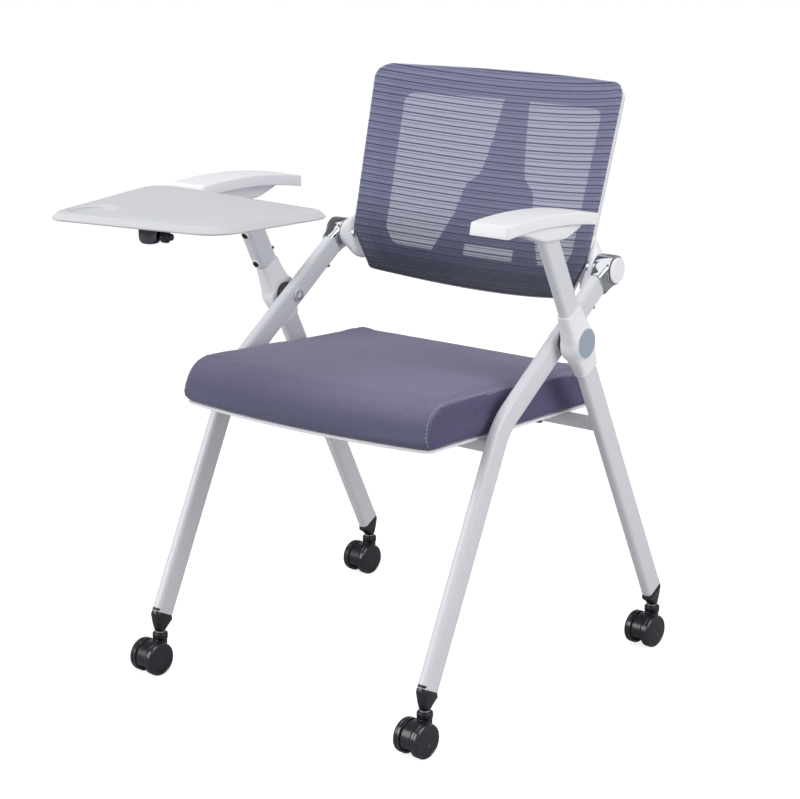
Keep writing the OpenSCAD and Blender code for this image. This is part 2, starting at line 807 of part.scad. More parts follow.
// An outline from its right-hand edge, mirrored to the left
function both_edges(edge) = concat(
    edge, [for (i = [len(edge) - 1 : -1 : 0]) [-edge[i][0], edge[i][1]]]);

// A curved plate from an outline of the backrest: from_y is its front face's place at the sides
module back_plate(from_y, h) {
    intersection() {
        translate([0, from_y + h + back_sag + over, 0]) rotate([90, 0, 0])
            linear_extrude(h + back_sag + 4 * over) children();
        translate([0, back_sag - back_curve_r, -2 * back_down]) difference() {
            cylinder(r = back_curve_r + from_y + h, h = 2 * back_up, $fn = arch_fn);
            translate([0, 0, -over])
                cylinder(r = back_curve_r + from_y, h = 2 * back_up + 2 * over, $fn = arch_fn);
        }
    }
}

// The white rear frame, with a boss on each side for the recline shaft
module back_frame() {
    color(white_plastic) translate(to_origin) in_back() difference() {
        union() {
            back_plate(rear_frame_y, rear_frame_h) difference() {
                back_outline(0);
                back_outline(rear_band);
            }
            both_sides() hull() {
                translate([back_low_x - rear_band + 6, rear_frame_y, -32])
                    cube([rear_band - 10, rear_frame_h, 74]);
                translate([boss_end_x - 8, 0, 0]) rotate([0, 90, 0])
                    cylinder(r = barrel_r, h = 8, $fn = 48);
            }
        }
        both_sides() translate([shaft_from_x - over, 0, 0]) rotate([0, 90, 0])
            cylinder(r = shaft_r + run_fit, h = 80);
        back_plate(-2 * barrel_r, 2 * barrel_r + rear_frame_y) back_outline(0);
    }
}

// The dark frame that carries the mesh
module back_inner_frame() {
    color(dark_plastic) translate(to_origin) in_back()
        back_plate(inner_frame_y, inner_frame_h) difference() {
            back_outline(rim_band);
            intersection() {
                back_outline(rim_band + inner_band);
                translate([-back_top_x, low_band - back_down])
                    square([2 * back_top_x, back_up + back_down]);
            }
        }
}

// The spine: an inverted Y with a lumbar plate at the fork
module back_spine() {
    bottom = low_band - back_down;
    rise = back_up - rim_band - inner_band - bottom;
    outer = [[0.31, 0], [0.2, 0.21], [0.17, 0.48], [0.13, 0.61], [0.07, 1]];
    inner = [[0.17, -0.01], [0.11, 0.19]];
    color(dark_plastic) translate(to_origin) in_back()
        back_plate(inner_frame_y, inner_frame_h) difference() {
            polygon(both_edges([for (p = outer) [p[0] * back_low_x, bottom + p[1] * rise]]));
            polygon(both_edges([for (p = inner) [p[0] * back_low_x, bottom + p[1] * rise]]));
        }
}

module back_mesh() {
    color(fabric_colour) translate(to_origin) in_back()
        back_plate(-mesh_forward, mesh_h) back_outline(mesh_inset);
}

// Shafts that the backrest reclines on
module back_shafts() {
    color(bright_steel) translate(to_origin) both_sides()
        cross_cylinder(joint, shaft_r, shaft_from_x, barrel_outer_x - over);
}

module back_screws() {
    low_z = -back_down + rear_band / 2;
    top_z = back_up - rear_band / 2;
    far_x = 0.75 * back_low_x;
    near_x = 0.25 * back_low_x;
    color(bright_steel) translate(to_origin) in_back() for (
        at = [[-far_x, low_z], [-near_x, low_z], [near_x, low_z], [far_x, low_z],
              [-far_x, top_z], [far_x, top_z]]
    ) translate([0, back_sag - back_curve_r, at[1]]) rotate([0, 0, -asin(at[0] / back_curve_r)])
        translate([0, back_curve_r + rear_frame_y + rear_frame_h, 0]) rotate([-90, 0, 0])
            cylinder(r = back_screw_r, h = back_screw_h);
}

// ---- writing tablet ----

module tablet_outline(inset) {
    middle = [-135, -20];
    polygon(round_corners(
        [for (c = tablet_corners) c - inset * [sign(c[0] - middle[0]), sign(c[1] - middle[1])]],
        tablet_radii));
}

// The board: widest low on its slanting side, with its lower edge drawn in
module tablet_board() {
    skin = 0.5;
    widest_z = tablet_bottom_z + 2;
    color(white_plastic) translate(to_origin) difference() {
        hull() {
            translate([0, 0, tablet_bottom_z]) linear_extrude(skin) tablet_outline(2);
            translate([0, 0, widest_z]) linear_extrude(skin) tablet_outline(0);
            translate([0, 0, tablet_top_z - skin]) linear_extrude(skin)
                tablet_outline(tablet_slant);
        }
        translate([cup[0], cup[1], tablet_top_z - cup_depth])
            cylinder(r = cup_r, h = cup_depth + over);
        translate([cup[0], cup[1], tablet_top_z - cup_bevel / 2])
            cylinder(r1 = cup_r, r2 = cup_r + 1.5 * cup_bevel, h = 0.75 * cup_bevel);
        pen_groove();
        tablet_screw_holes();
    }
}

module pen_groove() {
    run = groove_to - groove_from;
    translate([groove_from[0], groove_from[1], tablet_top_z - groove_depth])
        rotate([0, 0, atan2(run[1], run[0])]) {
            translate([0, -groove_w / 2, 0]) cube([norm(run), groove_w, groove_depth + over]);
            for (x = [0, norm(run)]) translate([x, 0, 0])
                cylinder(r = groove_w / 2, h = groove_depth + over);
        }
}

module tablet_screw_holes() {
    for (x = [-plate_screw_at, plate_screw_at], y = [-plate_screw_at, plate_screw_at])
        translate([swivel[0] + x, swivel[1] + y, plate_top_z - plate_h - over])
            cylinder(r = plate_screw_r + run_fit, h = over + plate_h + plate_screw_bite + gap);
}

// The steel plate under the tablet, with the spigot that turns in the housing
module tablet_plate() {
    color(bright_steel) translate(to_origin) difference() {
        union() {
            translate([swivel[0], swivel[1], plate_top_z - plate_h])
                linear_extrude(plate_h) polygon(rounded_rect(plate_w, plate_w, 12));
            translate([swivel[0], swivel[1], housing_bottom_z + 5])
                cylinder(r = spigot_r, h = plate_top_z - housing_bottom_z - 6);
        }
        tablet_screw_holes();
    }
}

module tablet_screws() {
    color("#2b2d35") translate(to_origin)
        for (x = [-plate_screw_at, plate_screw_at], y = [-plate_screw_at, plate_screw_at])
            translate([swivel[0] + x, swivel[1] + y, plate_top_z - plate_h]) {
                cylinder(r = plate_screw_r, h = plate_h + plate_screw_bite);
                translate([0, 0, -2]) cylinder(r = 2 * plate_screw_r, h = 2);
            }
}

module knob_frame() {
    translate([swivel[0], swivel[1], knob_z]) rotate([0, 0, knob_angle]) rotate([0, 90, 0])
        children();
}

// The dark housing that the tablet swivels in
module tablet_swivel_housing() {
    color("#3c3f47") translate(to_origin) difference() {
        translate([swivel[0], swivel[1], housing_bottom_z]) {
            cylinder(r1 = swivel_r - 4, r2 = swivel_r, h = 6);
            translate([0, 0, 6]) cylinder(r = swivel_r, h = housing_top_z - housing_bottom_z - 6);
        }
        translate([swivel[0], swivel[1], housing_bottom_z + 5 - gap])
            cylinder(r = spigot_r + run_fit, h = 40);
        knob_frame() cylinder(r = spindle_r + run_fit, h = 60);
    }
}

module tablet_lock_knob() {
    color(black_plastic) translate(to_origin) knob_frame() {
        translate([0, 0, spigot_r + gap]) cylinder(r = spindle_r, h = swivel_r - spigot_r + 3);
        translate([0, 0, swivel_r + 2]) cylinder(r = 8.5, h = 10);
        translate([0, 0, swivel_r + 12]) cylinder(r = 5, h = 6);
    }
}

// The arm from the flip hinge to the housing, rising under the tablet
module tablet_arm() {
    stations = [
        [flip_x, flip_front_y - arm_bar_w / 2, flip_z],
        [flip_x + 15, 96, flip_z + 13],
        [swivel[0] - 28, swivel[1] + 66, housing_bottom_z + 17],
        [swivel[0] - 2, swivel[1] + swivel_r + 4, housing_bottom_z + 14],
    ];
    color(white_tube) translate(to_origin) difference() {
        union() {
            for (i = [0 : len(stations) - 2]) hull() for (k = [i, i + 1])
                translate(stations[k])
                    cylinder(r = arm_bar_w / 2, h = arm_bar_h, center = true, $fn = 24);
            translate([flip_x, flip_front_y - arm_bar_w - 6, flip_z]) rotate([-90, 0, 0])
                cylinder(r = flip_boss_r, h = arm_bar_w + 6);
        }
        translate([swivel[0], swivel[1], 0]) cylinder(r = swivel_r + run_fit, h = 2 * tablet_top_z);
        translate([flip_x, flip_front_y - arm_bar_w, flip_z]) rotate([-90, 0, 0])
            cylinder(r = flip_pin_r + run_fit, h = 60);
    }
}

module tablet_hinge_pin() {
    color(bright_steel) translate(to_origin)
        translate([flip_x, flip_front_y - arm_bar_w, flip_z]) rotate([-90, 0, 0])
            cylinder(r = flip_pin_r, h = arm_bar_w + flip_pin_reach);
}

// ---- casters ----

// Puts a child at a caster: its z axis is the stem, and its axle is ahead of the stem
module at_caster(place) {
    translate(to_origin) translate([place[0], place[1], 0]) rotate([0, 0, caster_turn]) children();
}

// The hood: a web between the wheels that reaches back to a collar above and behind them
module caster_hood(place) {
    web_bottom_z = wheel_r - 8;
    color(black_plastic) at_caster(place) difference() {
        union() {
            intersection() {
                translate([-hood_w / 2, -trail, wheel_r]) rotate([0, 90, 0])
                    cylinder(r = hood_r, h = hood_w);
                translate([-hood_w, -trail - hood_r, hood_front_z])
                    cube([2 * hood_w, 2 * hood_r, 2 * hood_r]);
            }
            translate([-hood_w / 2, -trail, wheel_r]) rotate([0, 90, 0])
                cylinder(r = hood_hub_r, h = hood_w);
            translate([-hood_w / 2, -trail, web_bottom_z])
                cube([hood_w, trail + collar_r - 2, collar_bottom_z + over - web_bottom_z]);
            translate([0, 0, collar_bottom_z])
                cylinder(r = collar_r, h = collar_top_z - collar_bottom_z);
        }
        translate([-hood_w, -trail, wheel_r]) rotate([0, 90, 0])
            cylinder(r = axle_r + run_fit, h = 2 * hood_w);
        translate([0, 0, stem_bottom_z]) cylinder(r = stem_r, h = stem_top_z);
    }
}

// The steel stem, with the friction ring that shows above the collar
module caster_stem(place) {
    color(bright_steel) at_caster(place) {
        translate([0, 0, stem_bottom_z]) cylinder(r = stem_r, h = stem_top_z - stem_bottom_z);
        translate([0, 0, collar_top_z]) cylinder(r = neck_r, h = ring_h);
    }
}

module caster_wheels(place) {
    color(black_plastic) at_caster(place) translate([0, -trail, wheel_r]) both_sides()
        difference() {
            translate([caster_w / 2 - wheel_w, 0, 0]) rotate([0, 90, 0]) {
                cylinder(r1 = wheel_r - 1, r2 = wheel_r, h = 1);
                translate([0, 0, 1]) cylinder(r = wheel_r, h = wheel_w - 4);
                translate([0, 0, wheel_w - 3]) cylinder(r1 = wheel_r, r2 = wheel_r - 2.5, h = 2);
                cylinder(r = wheel_r - 4, h = wheel_w);
            }
            rotate([0, 90, 0]) cylinder(r = axle_r, h = caster_w / 2 - 4);
        }
}

module caster_axle(place) {
    color(bright_steel) at_caster(place) translate([-caster_w / 2 + 4, -trail, wheel_r])
        rotate([0, 90, 0]) cylinder(r = axle_r, h = caster_w - 8);
}

front_leg(1);  // front_leg_left
front_leg(-1);  // front_leg_right
front_crossbar();
front_foot_plugs();
back_joint(1);  // back_joint_left
back_joint(-1);  // back_joint_right
back_joint_caps();
recline_bushes();
joint_screws();
hub_bolts();
hub_nuts();
hub_spacers();
rear_leg(1);  // rear_leg_left
rear_leg(-1);  // rear_leg_right
rear_crossbar();
rear_foot_plugs();
hub_cover(1);  // hub_cover_left
hub_cover(-1);  // hub_cover_right
hub_caps();
arm_bracket(1);  // arm_bracket_left
arm_bracket(-1);  // arm_bracket_right
armrest(1);  // armrest_left
armrest(-1);  // armrest_right
arm_screws();
tablet_bracket();
tablet_bracket_bolts();
seat_pan();
seat_cushion();
seat_hinges();
seat_saddles();
seat_screws();
back_frame();
back_inner_frame();
back_spine();
back_mesh();
back_shafts();
back_screws();
tablet_arm();
tablet_hinge_pin();
tablet_swivel_housing();
tablet_lock_knob();
tablet_board();
tablet_plate();
tablet_screws();
caster_hood(caster_fl);  // caster_hood_fl
caster_hood(caster_fr);  // caster_hood_fr
caster_hood(caster_rl);  // caster_hood_rl
caster_hood(caster_rr);  // caster_hood_rr
caster_stem(caster_fl);  // caster_stem_fl
caster_stem(caster_fr);  // caster_stem_fr
caster_stem(caster_rl);  // caster_stem_rl
caster_stem(caster_rr);  // caster_stem_rr
caster_wheels(caster_fl);  // caster_wheels_fl
caster_wheels(caster_fr);  // caster_wheels_fr
caster_wheels(caster_rl);  // caster_wheels_rl
caster_wheels(caster_rr);  // caster_wheels_rr
caster_axle(caster_fl);  // caster_axle_fl
caster_axle(caster_fr);  // caster_axle_fr
caster_axle(caster_rl);  // caster_axle_rl
caster_axle(caster_rr);  // caster_axle_rr
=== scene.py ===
# %% [markdown]
# # A folding training chair with a writing tablet
# The real chair is a white steel frame on four twin-wheel casters. It carries an upholstered
# seat, a striped mesh back, two moulded armrests and a writing tablet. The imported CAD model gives
# every place and size. This lesson dresses it: each cell makes one kind of piece, says how such a
# piece could be made in Blender, and puts it on the moving body that carries it.

# %% Load the frame
import json
import math
import bmesh
import bpy
import numpy as np
from mathutils import Matrix, Vector
from mathutils.bvhtree import BVHTree


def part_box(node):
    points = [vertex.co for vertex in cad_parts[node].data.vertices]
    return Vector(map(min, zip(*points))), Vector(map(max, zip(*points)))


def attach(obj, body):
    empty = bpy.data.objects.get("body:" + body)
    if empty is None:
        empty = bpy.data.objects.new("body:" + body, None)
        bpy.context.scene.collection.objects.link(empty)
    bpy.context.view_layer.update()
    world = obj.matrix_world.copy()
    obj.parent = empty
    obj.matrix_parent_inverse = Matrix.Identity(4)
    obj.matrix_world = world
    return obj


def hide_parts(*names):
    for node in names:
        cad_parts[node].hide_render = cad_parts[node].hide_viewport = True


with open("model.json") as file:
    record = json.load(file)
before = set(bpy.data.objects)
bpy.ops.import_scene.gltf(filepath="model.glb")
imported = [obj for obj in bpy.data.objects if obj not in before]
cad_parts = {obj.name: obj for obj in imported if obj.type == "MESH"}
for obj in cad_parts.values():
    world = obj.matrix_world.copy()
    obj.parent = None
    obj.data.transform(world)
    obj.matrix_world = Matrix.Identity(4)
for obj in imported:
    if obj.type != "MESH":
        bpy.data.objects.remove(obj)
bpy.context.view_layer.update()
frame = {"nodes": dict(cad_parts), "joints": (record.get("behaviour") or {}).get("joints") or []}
joints = {joint["name"]: joint for joint in frame["joints"]}

# %% [markdown]
# ## One set of places
# The chair is easiest to think about from its own middle: x = 0 is the plane of symmetry, y = 0
# is the line of the front caster stems and z = 0 is the floor, all in millimetres. The CAD model's
# origin is elsewhere, so one function turns a place into the frame's metres. The offsets are read
# from the CAD model's own boxes, so nothing has to be fitted by hand.

# %% Places in millimetres
MM = 0.001


def middle(node):
    """The middle of a CAD node's box."""
    low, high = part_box(node)
    return (Vector(low) + Vector(high)) / 2


SHIFT = Vector((middle("front_crossbar").x, middle("caster_stem_fl").y, 0))


def at(x, y, z):
    """A point in chair millimetres as a point in the frame's metres."""
    return Vector((x, y, z)) * MM + SHIFT


def in_chair(point):
    """The other way round: a point in the frame's metres as chair millimetres."""
    return (Vector(point) - SHIFT) / MM


def place_of(joint):
    """A joint's place in the side view, as (y, z) in millimetres."""
    spot = in_chair(joints[joint]["pos_m"])
    return spot.y, spot.z


HUB = place_of("fold")
BACK_JOINT = place_of("back_recline")
SEAT_AXIS = place_of("seat_flip")
print("hub", HUB, "back joint", BACK_JOINT)

# %% [markdown]
# ## Studio
# The chair stands in a plain pale studio. A camera at eye height looks down a little and from the
# chair's left front. Large soft lamps give broad highlights on the enamel. The floor is one very
# large plane, so no horizon shows, and it keeps the chair's soft shadow. The world is white to the
# camera. Mirrors see it dark below, light round the horizon and dark overhead, because plated metal
# looks like metal only when it has something uneven to reflect. For everything else it is a dim
# fill, so the pale background never adds light to the object.

# %% Camera
CAMERA_AT = (1820.4, -2129.8, 1186.8)
CAMERA_ELEVATION, CAMERA_AZIMUTH = 15.018, 37.36
camera = bpy.data.objects.new("camera", bpy.data.cameras.new("camera"))
camera.data.lens, camera.data.sensor_width = 99.07, 36
camera.data.clip_end = 200
camera.location = at(*CAMERA_AT)
camera.rotation_euler = (math.radians(90 - CAMERA_ELEVATION), 0, math.radians(CAMERA_AZIMUTH))
bpy.context.scene.collection.objects.link(camera)
bpy.context.scene.camera = camera
bpy.context.scene.view_settings.view_transform = "Standard"
print("camera with a", camera.data.lens, "mm lens")


# %% Node helper and colours
def add(tree, kind, inputs=(), **settings):
    """Adds a node with its settings, and joins or sets its inputs, given as (key, value).

    A value that is a node stands for that node's first output.
    """
    node = tree.nodes.new(kind)
    for key, value in settings.items():
        setattr(node, key, value)
    for key, value in inputs:
        if isinstance(value, bpy.types.Node):
            value = value.outputs[0]
        if isinstance(value, bpy.types.NodeSocket):
            tree.links.new(value, node.inputs[key])
        else:
            node.inputs[key].default_value = value
    return node


def linear(hex_colour):
    """An sRGB hex value as a linear colour with alpha."""
    parts = [int(hex_colour[i:i + 2], 16) / 255 for i in (1, 3, 5)]
    return tuple(c / 12.92 if c <= 0.04045 else ((c + 0.055) / 1.055) ** 2.4 for c in parts) + (1,)


def blank(name):
    """A material with an empty node tree."""
    material = bpy.data.materials.new(name)
    material.use_nodes = True
    material.node_tree.nodes.clear()
    return material, material.node_tree


def set_stops(node, stops):
    """Gives a colour ramp node its (place, colour) stops."""
    while len(node.color_ramp.elements) < len(stops):
        node.color_ramp.elements.new(0.5)
    for element, (place, colour) in zip(node.color_ramp.elements, stops):
        element.position, element.color = place, colour


def grey(level):
    """A linear grey with alpha."""
    return (level, level, level, 1)


print("enamel white is", [round(c, 3) for c in linear("#dcdde1")])


# %% Floor, world and lamps
def seen_by(tree, *rays):
    """1 for rays of any of these kinds, else 0."""
    path = add(tree, "ShaderNodeLightPath")
    seen = path.outputs[rays[0]]
    for ray_kind in rays[1:]:
        seen = add(tree, "ShaderNodeMath", [(0, seen), (1, path.outputs[ray_kind])],
                   operation="MAXIMUM").outputs[0]
    return seen


# Brightness that mirrors see, from straight down (0) over the horizon (0.5) to straight up (1).
MIRROR_BANDS = ((0, 0.1), (0.44, 0.22), (0.5, 0.7), (0.62, 0.8), (0.7, 0.3), (1, 0.12))


def make_world(fill):
    """White to the camera, banded for mirrors, and a dim fill for everything else."""
    world = bpy.data.worlds.new("studio")
    world.use_nodes = True
    tree = world.node_tree
    tree.nodes.clear()
    way = add(tree, "ShaderNodeSeparateXYZ", [(0, add(tree, "ShaderNodeTexCoord"))])
    height = add(tree, "ShaderNodeMapRange", [("Value", way.outputs[2]), ("From Min", -1)])
    bands = add(tree, "ShaderNodeValToRGB", [(0, height)])
    set_stops(bands, [(place, grey(level)) for place, level in MIRROR_BANDS])
    dim = add(tree, "ShaderNodeBackground", [("Color", (0.93, 0.95, 1, 1)), ("Strength", fill)])
    banded = add(tree, "ShaderNodeBackground", [("Color", bands)])
    white = add(tree, "ShaderNodeBackground", [("Color", grey(1))])
    mirrors = add(tree, "ShaderNodeMixShader", [
        (0, seen_by(tree, "Is Glossy Ray")), (1, dim), (2, banded)])
    whole = add(tree, "ShaderNodeMixShader", [
        (0, seen_by(tree, "Is Camera Ray", "Is Transmission Ray")), (1, mirrors), (2, white)])
    add(tree, "ShaderNodeOutputWorld", [("Surface", whole)])
    bpy.context.scene.world = world


def make_floor(size, shade, glow):
    """A matt floor that keeps the shadow, lifted towards white where it is looked at."""
    mesh = bpy.data.meshes.new("floor")
    corners = [(-size, -size, 0), (size, -size, 0), (size, size, 0), (-size, size, 0)]
    mesh.from_pydata(corners, [], [(0, 1, 2, 3)])
    floor = bpy.data.objects.new("floor", mesh)
    bpy.context.scene.collection.objects.link(floor)
    paint, tree = blank("studio_floor")
    seen = seen_by(tree, "Is Camera Ray", "Is Transmission Ray")
    strength = add(tree, "ShaderNodeMath", [(0, seen), (1, glow)], operation="MULTIPLY")
    matt = add(tree, "ShaderNodeBsdfDiffuse", [("Color", grey(shade))])
    light = add(tree, "ShaderNodeEmission", [("Color", grey(1)), ("Strength", strength)])
    lifted = add(tree, "ShaderNodeAddShader", [(0, matt), (1, light)])
    add(tree, "ShaderNodeOutputMaterial", [("Surface", lifted)])
    mesh.materials.append(paint)


def make_lamp(name, place, target, size, watts):
    """A soft rectangular lamp at a place, turned to a target, both in chair millimetres."""
    lamp = bpy.data.objects.new(name, bpy.data.lights.new(name, "AREA"))
    lamp.data.shape, lamp.data.size, lamp.data.size_y = "RECTANGLE", size[0], size[1]
    lamp.data.energy = watts
    lamp.location = at(*place)
    towards = at(*target) - lamp.location
    lamp.rotation_euler = towards.to_track_quat("-Z", "Y").to_euler()
    bpy.context.scene.collection.objects.link(lamp)


make_world(fill=0.44)
make_floor(size=60, shade=0.5, glow=0.8)
make_lamp("overhead", (-300, -200, 2900), (0, 200, 450), size=(2.4, 2.4), watts=24)
make_lamp("front_left", (-1900, -2300, 1700), (0, 200, 500), size=(1.6, 2.0), watts=54)
make_lamp("right_side", (2600, 300, 1500), (0, 250, 450), size=(1.4, 2.0), watts=36)
print("studio is lit by three soft lamps and a dim world")

# %% [markdown]
# ## Finishes
# Each material is one Principled shader, because every real finish here is a plain surface: enamel
# on steel, moulded plastic, plated metal, rubber or cloth. What tells them apart is colour,
# roughness, and a small relief. The relief comes from noise on Object coordinates, which are in
# metres, so a grain of 0.4 mm is a scale of about 2500. A grain too fine to show at this distance
# is drawn a little coarser.


# %% Plain finishes
def finish(name, colour, roughness, metallic=0.0, ior=1.5, grain_mm=0.0, relief_mm=0.0, vary=0.0,
           coat=0.0):
    """A named finish with an even colour, a slight change of tone and a fine grain."""
    material, tree = blank(name)
    shader = add(tree, "ShaderNodeBsdfPrincipled", [
        ("Base Color", linear(colour)), ("Roughness", roughness), ("Metallic", metallic),
        ("Coat Weight", coat), ("Coat Roughness", 0.08)])
    if not metallic:
        shader.inputs["IOR"].default_value = ior
    add(tree, "ShaderNodeOutputMaterial", [("Surface", shader)])
    where = add(tree, "ShaderNodeTexCoord").outputs["Object"]
    if vary:
        cloud = add(tree, "ShaderNodeTexNoise", [("Vector", where), ("Scale", 9), ("Detail", 3)])
        tone = add(tree, "ShaderNodeMapRange", [("Value", cloud), ("To Min", 1 - vary),
                                                ("To Max", 1 + vary)])
        clouded = add(tree, "ShaderNodeMix", [(0, 1.0), (6, linear(colour)), (7, tone)],
                      data_type="RGBA", blend_type="MULTIPLY")
        tree.links.new(clouded.outputs[2], shader.inputs["Base Color"])
    if relief_mm:
        grain = add(tree, "ShaderNodeTexNoise", [("Vector", where),
                                                 ("Scale", 1 / (grain_mm * MM)), ("Detail", 2)])
        bump = add(tree, "ShaderNodeBump", [("Height", grain), ("Strength", 1),
                                            ("Distance", relief_mm * MM)])
        tree.links.new(bump.outputs[0], shader.inputs["Normal"])
    return material


# Polyester powder coat on steel tube: smooth, with a faint orange peel and soft highlights.
enamel = finish("white_powder_coat", "#dcdde1", 0.34, grain_mm=2.2, relief_mm=0.012, vary=0.012)
# Moulded polypropylene: whiter than the tubes, satin, with a fine spark-eroded grain.
moulded = finish("white_polypropylene", "#f1f1f3", 0.42, ior=1.49, grain_mm=0.8, relief_mm=0.02,
                 vary=0.008)
# The tablet's ABS has a leather-fine texture, so that paper doesn't slide on it.
tablet_abs = finish("textured_abs", "#d1d2d5", 0.5, ior=1.53, grain_mm=1.0, relief_mm=0.05,
                    vary=0.01)
# The caps over the pivots are the same plastic, coloured grey-blue.
cap_blue = finish("grey_blue_polypropylene", "#9fabb8", 0.4, ior=1.49, grain_mm=0.8,
                  relief_mm=0.02)
# Bright chrome plate on a die casting.
chrome = finish("chrome_plate", "#c3c6cc", 0.07, metallic=1)
# Black nickel over a die casting, under the tablet.
black_nickel = finish("black_nickel", "#5b5d63", 0.16, metallic=1)
# Clear zinc on screws and shafts: a dull, slightly grainy metal.
zinc = finish("zinc_plate", "#b4b7bd", 0.36, metallic=1, grain_mm=0.5, relief_mm=0.01)
# Black oxide on bolts: dark, with a dull gleam.
black_oxide = finish("black_oxide_steel", "#2c2d33", 0.42, metallic=0.6)
# Glass-filled nylon: dark, matt, with a coarse grain.
nylon = finish("dark_glass_filled_nylon", "#30313b", 0.55, ior=1.53, grain_mm=0.9, relief_mm=0.03)
# The same nylon in a dark slate that is painted shade, for the frame behind the mesh.
shade_slate_nylon = finish("glass_filled_nylon_painted_shade", "#686a7e", 0.55, ior=1.53, grain_mm=0.9,
                     relief_mm=0.03)
# Polished black nylon of the foot plugs and caster hoods.
black_nylon = finish("polished_black_nylon", "#14161d", 0.28, ior=1.53, grain_mm=1.5,
                     relief_mm=0.008)
# Polyurethane wheels: black, with a soft gleam.
polyurethane = finish("black_polyurethane", "#15171f", 0.24, ior=1.5, grain_mm=1.5,
                      relief_mm=0.008, coat=0.3)
print("plain finishes:", len(bpy.data.materials))

# %% [markdown]
# ## Forms from rings
# Nearly every piece here is moulded, drawn or turned, so its skin can be described as rings of
# points, one after another: a tube is a section carried along a path, a turned part is a circle of
# changing radius, and a plate with rounded edges is its outline drawn slightly smaller near the
# faces. Subdivision surfaces would do as well, but rings keep every size exact. Forms stay in
# millimetres until the last moment.


# %% Outlines
def rounded(corners, radii, steps=8):
    """A convex outline, counter-clockwise, with each corner rounded by its own radius."""
    corners = np.asarray(corners, float)
    outline = []
    for i, radius in enumerate(radii):
        back, ahead = corners[i - 1] - corners[i], corners[(i + 1) % len(corners)] - corners[i]
        back, ahead = back / np.linalg.norm(back), ahead / np.linalg.norm(ahead)
        half = math.acos(back @ ahead) / 2
        middle_way = (back + ahead) / np.linalg.norm(back + ahead)
        centre = corners[i] + middle_way * radius / math.sin(half)
        start = corners[i] + back * radius / math.tan(half) - centre
        first = math.atan2(start[1], start[0])
        for k in range(steps + 1):
            turn = first + k * (math.pi - 2 * half) / steps
            outline.append(centre + radius * np.array((math.cos(turn), math.sin(turn))))
    return np.array(outline)


def oblong(width, depth, radius, steps=8):
    """A rectangle with rounded corners, around its middle."""
    w, d = width / 2, depth / 2
    return rounded([(w, d), (-w, d), (-w, -d), (w, -d)], [radius] * 4, steps)


def round_over(bottom, top, low_radius, high_radius, steps=5):
    """(height, inset) levels of a plate with rounded lower and upper edges."""
    levels = []
    for radius, z, way in ((low_radius, bottom, 1), (high_radius, top, -1)):
        turns = [k / steps * math.pi / 2 for k in range(steps + 1)][::way]
        levels += [(z + way * radius * (1 - math.cos(t)), radius * (1 - math.sin(t)))
                   for t in turns]
    return levels


print("a rounded outline of 30 by 20 mm has", len(oblong(30, 20, 4)), "points")


# %% Skins
def skin(rings, closed=False):
    """A solid through rings with as many points each. Its ends are capped, unless it closes."""
    count = len(rings[0])
    faces = []
    for i in range(len(rings) - (not closed)):
        a, b = i * count, (i + 1) % len(rings) * count
        faces += [(a + k, a + (k + 1) % count, b + (k + 1) % count, b + k) for k in range(count)]
    if not closed:
        last = (len(rings) - 1) * count
        faces += [tuple(range(count)), tuple(range(last, last + count))]
    return np.vstack(rings), faces


def lathe(profile, sides=72, closed=False):
    """A turned form from (radius, height) pairs, around its own z axis."""
    turns = np.linspace(0, 2 * math.pi, sides, endpoint=False)
    circle = np.column_stack([np.cos(turns), np.sin(turns)])
    return skin([np.column_stack([circle * r, np.full(sides, z)]) for r, z in profile], closed)


def slab(outline, levels):
    """A plate from a function of the inset, drawn at each (height, inset) level."""
    rings = []
    for z, inset in levels:
        ring = outline(inset)
        rings.append(np.column_stack([ring, np.full(len(ring), z)]))
    return skin(rings)


def ring_at(x, spot, slope, width, depth, radius, steps=6):
    """A rounded section across a path in the side view, as 3-D points."""
    flat = oblong(width, depth, radius, steps)
    lean = math.radians(slope)
    return np.column_stack([x + flat[:, 0], spot[0] + flat[:, 1] * math.sin(lean),
                            spot[1] - flat[:, 1] * math.cos(lean)])


print("a lathe turns a profile into", len(lathe([(1, 0), (1, 1)])[1]), "faces")


# %% Places and directions of forms
def ray(slope, length=1.0):
    """A step along a slope in degrees, in the side view."""
    return np.array((math.cos(math.radians(slope)), math.sin(math.radians(slope)))) * length


def side_axes(slope):
    """Axes of a form whose z runs along a slope in the side view."""
    c, s = ray(slope)
    return np.array([(1, 0, 0), (0, s, -c), (0, c, s)])


# A form's own z runs across the chair, to the rear, or turned over, down to the floor.
ACROSS = np.array([(0, 0, -1), (0, 1, 0), (1, 0, 0)])
REARWARD = np.array([(1, 0, 0), (0, 0, -1), (0, 1, 0)])
TURNED = np.diag((1, -1, -1))


def placed(form, origin, axes=np.eye(3)):
    """The form turned so that its own x, y and z run along the axes, and moved to the origin."""
    return np.asarray(form[0]) @ axes + np.array(origin, float), form[1]


def across(profile, spot, sides=72, closed=False):
    """A turned form whose axis runs across the chair, from (radius, x) pairs."""
    return placed(lathe(profile, sides, closed), (0, *spot), ACROSS)


def mirror(form):
    """The same form on the chair's other side."""
    return form[0] * (-1, 1, 1), form[1]


def both(*forms):
    """Each form and its mirror image."""
    return [side for form in forms for side in (form, mirror(form))]


print("both() makes", len(both(lathe([(1, 0), (1, 1)]))), "forms from one")


# %% From forms to objects
def mesh_of(name, forms, crease=38):
    """One mesh from forms in chair millimetres, smooth but for edges sharper than the crease."""
    bm = bmesh.new()
    for points, faces in forms:
        corners = [bm.verts.new(at(*p)) for p in points]
        for face in faces:
            bm.faces.new([corners[i] for i in face])
    bmesh.ops.recalc_face_normals(bm, faces=bm.faces)
    mesh = bpy.data.meshes.new(name)
    bm.to_mesh(mesh)
    bm.free()
    smooth(mesh, crease)
    return mesh


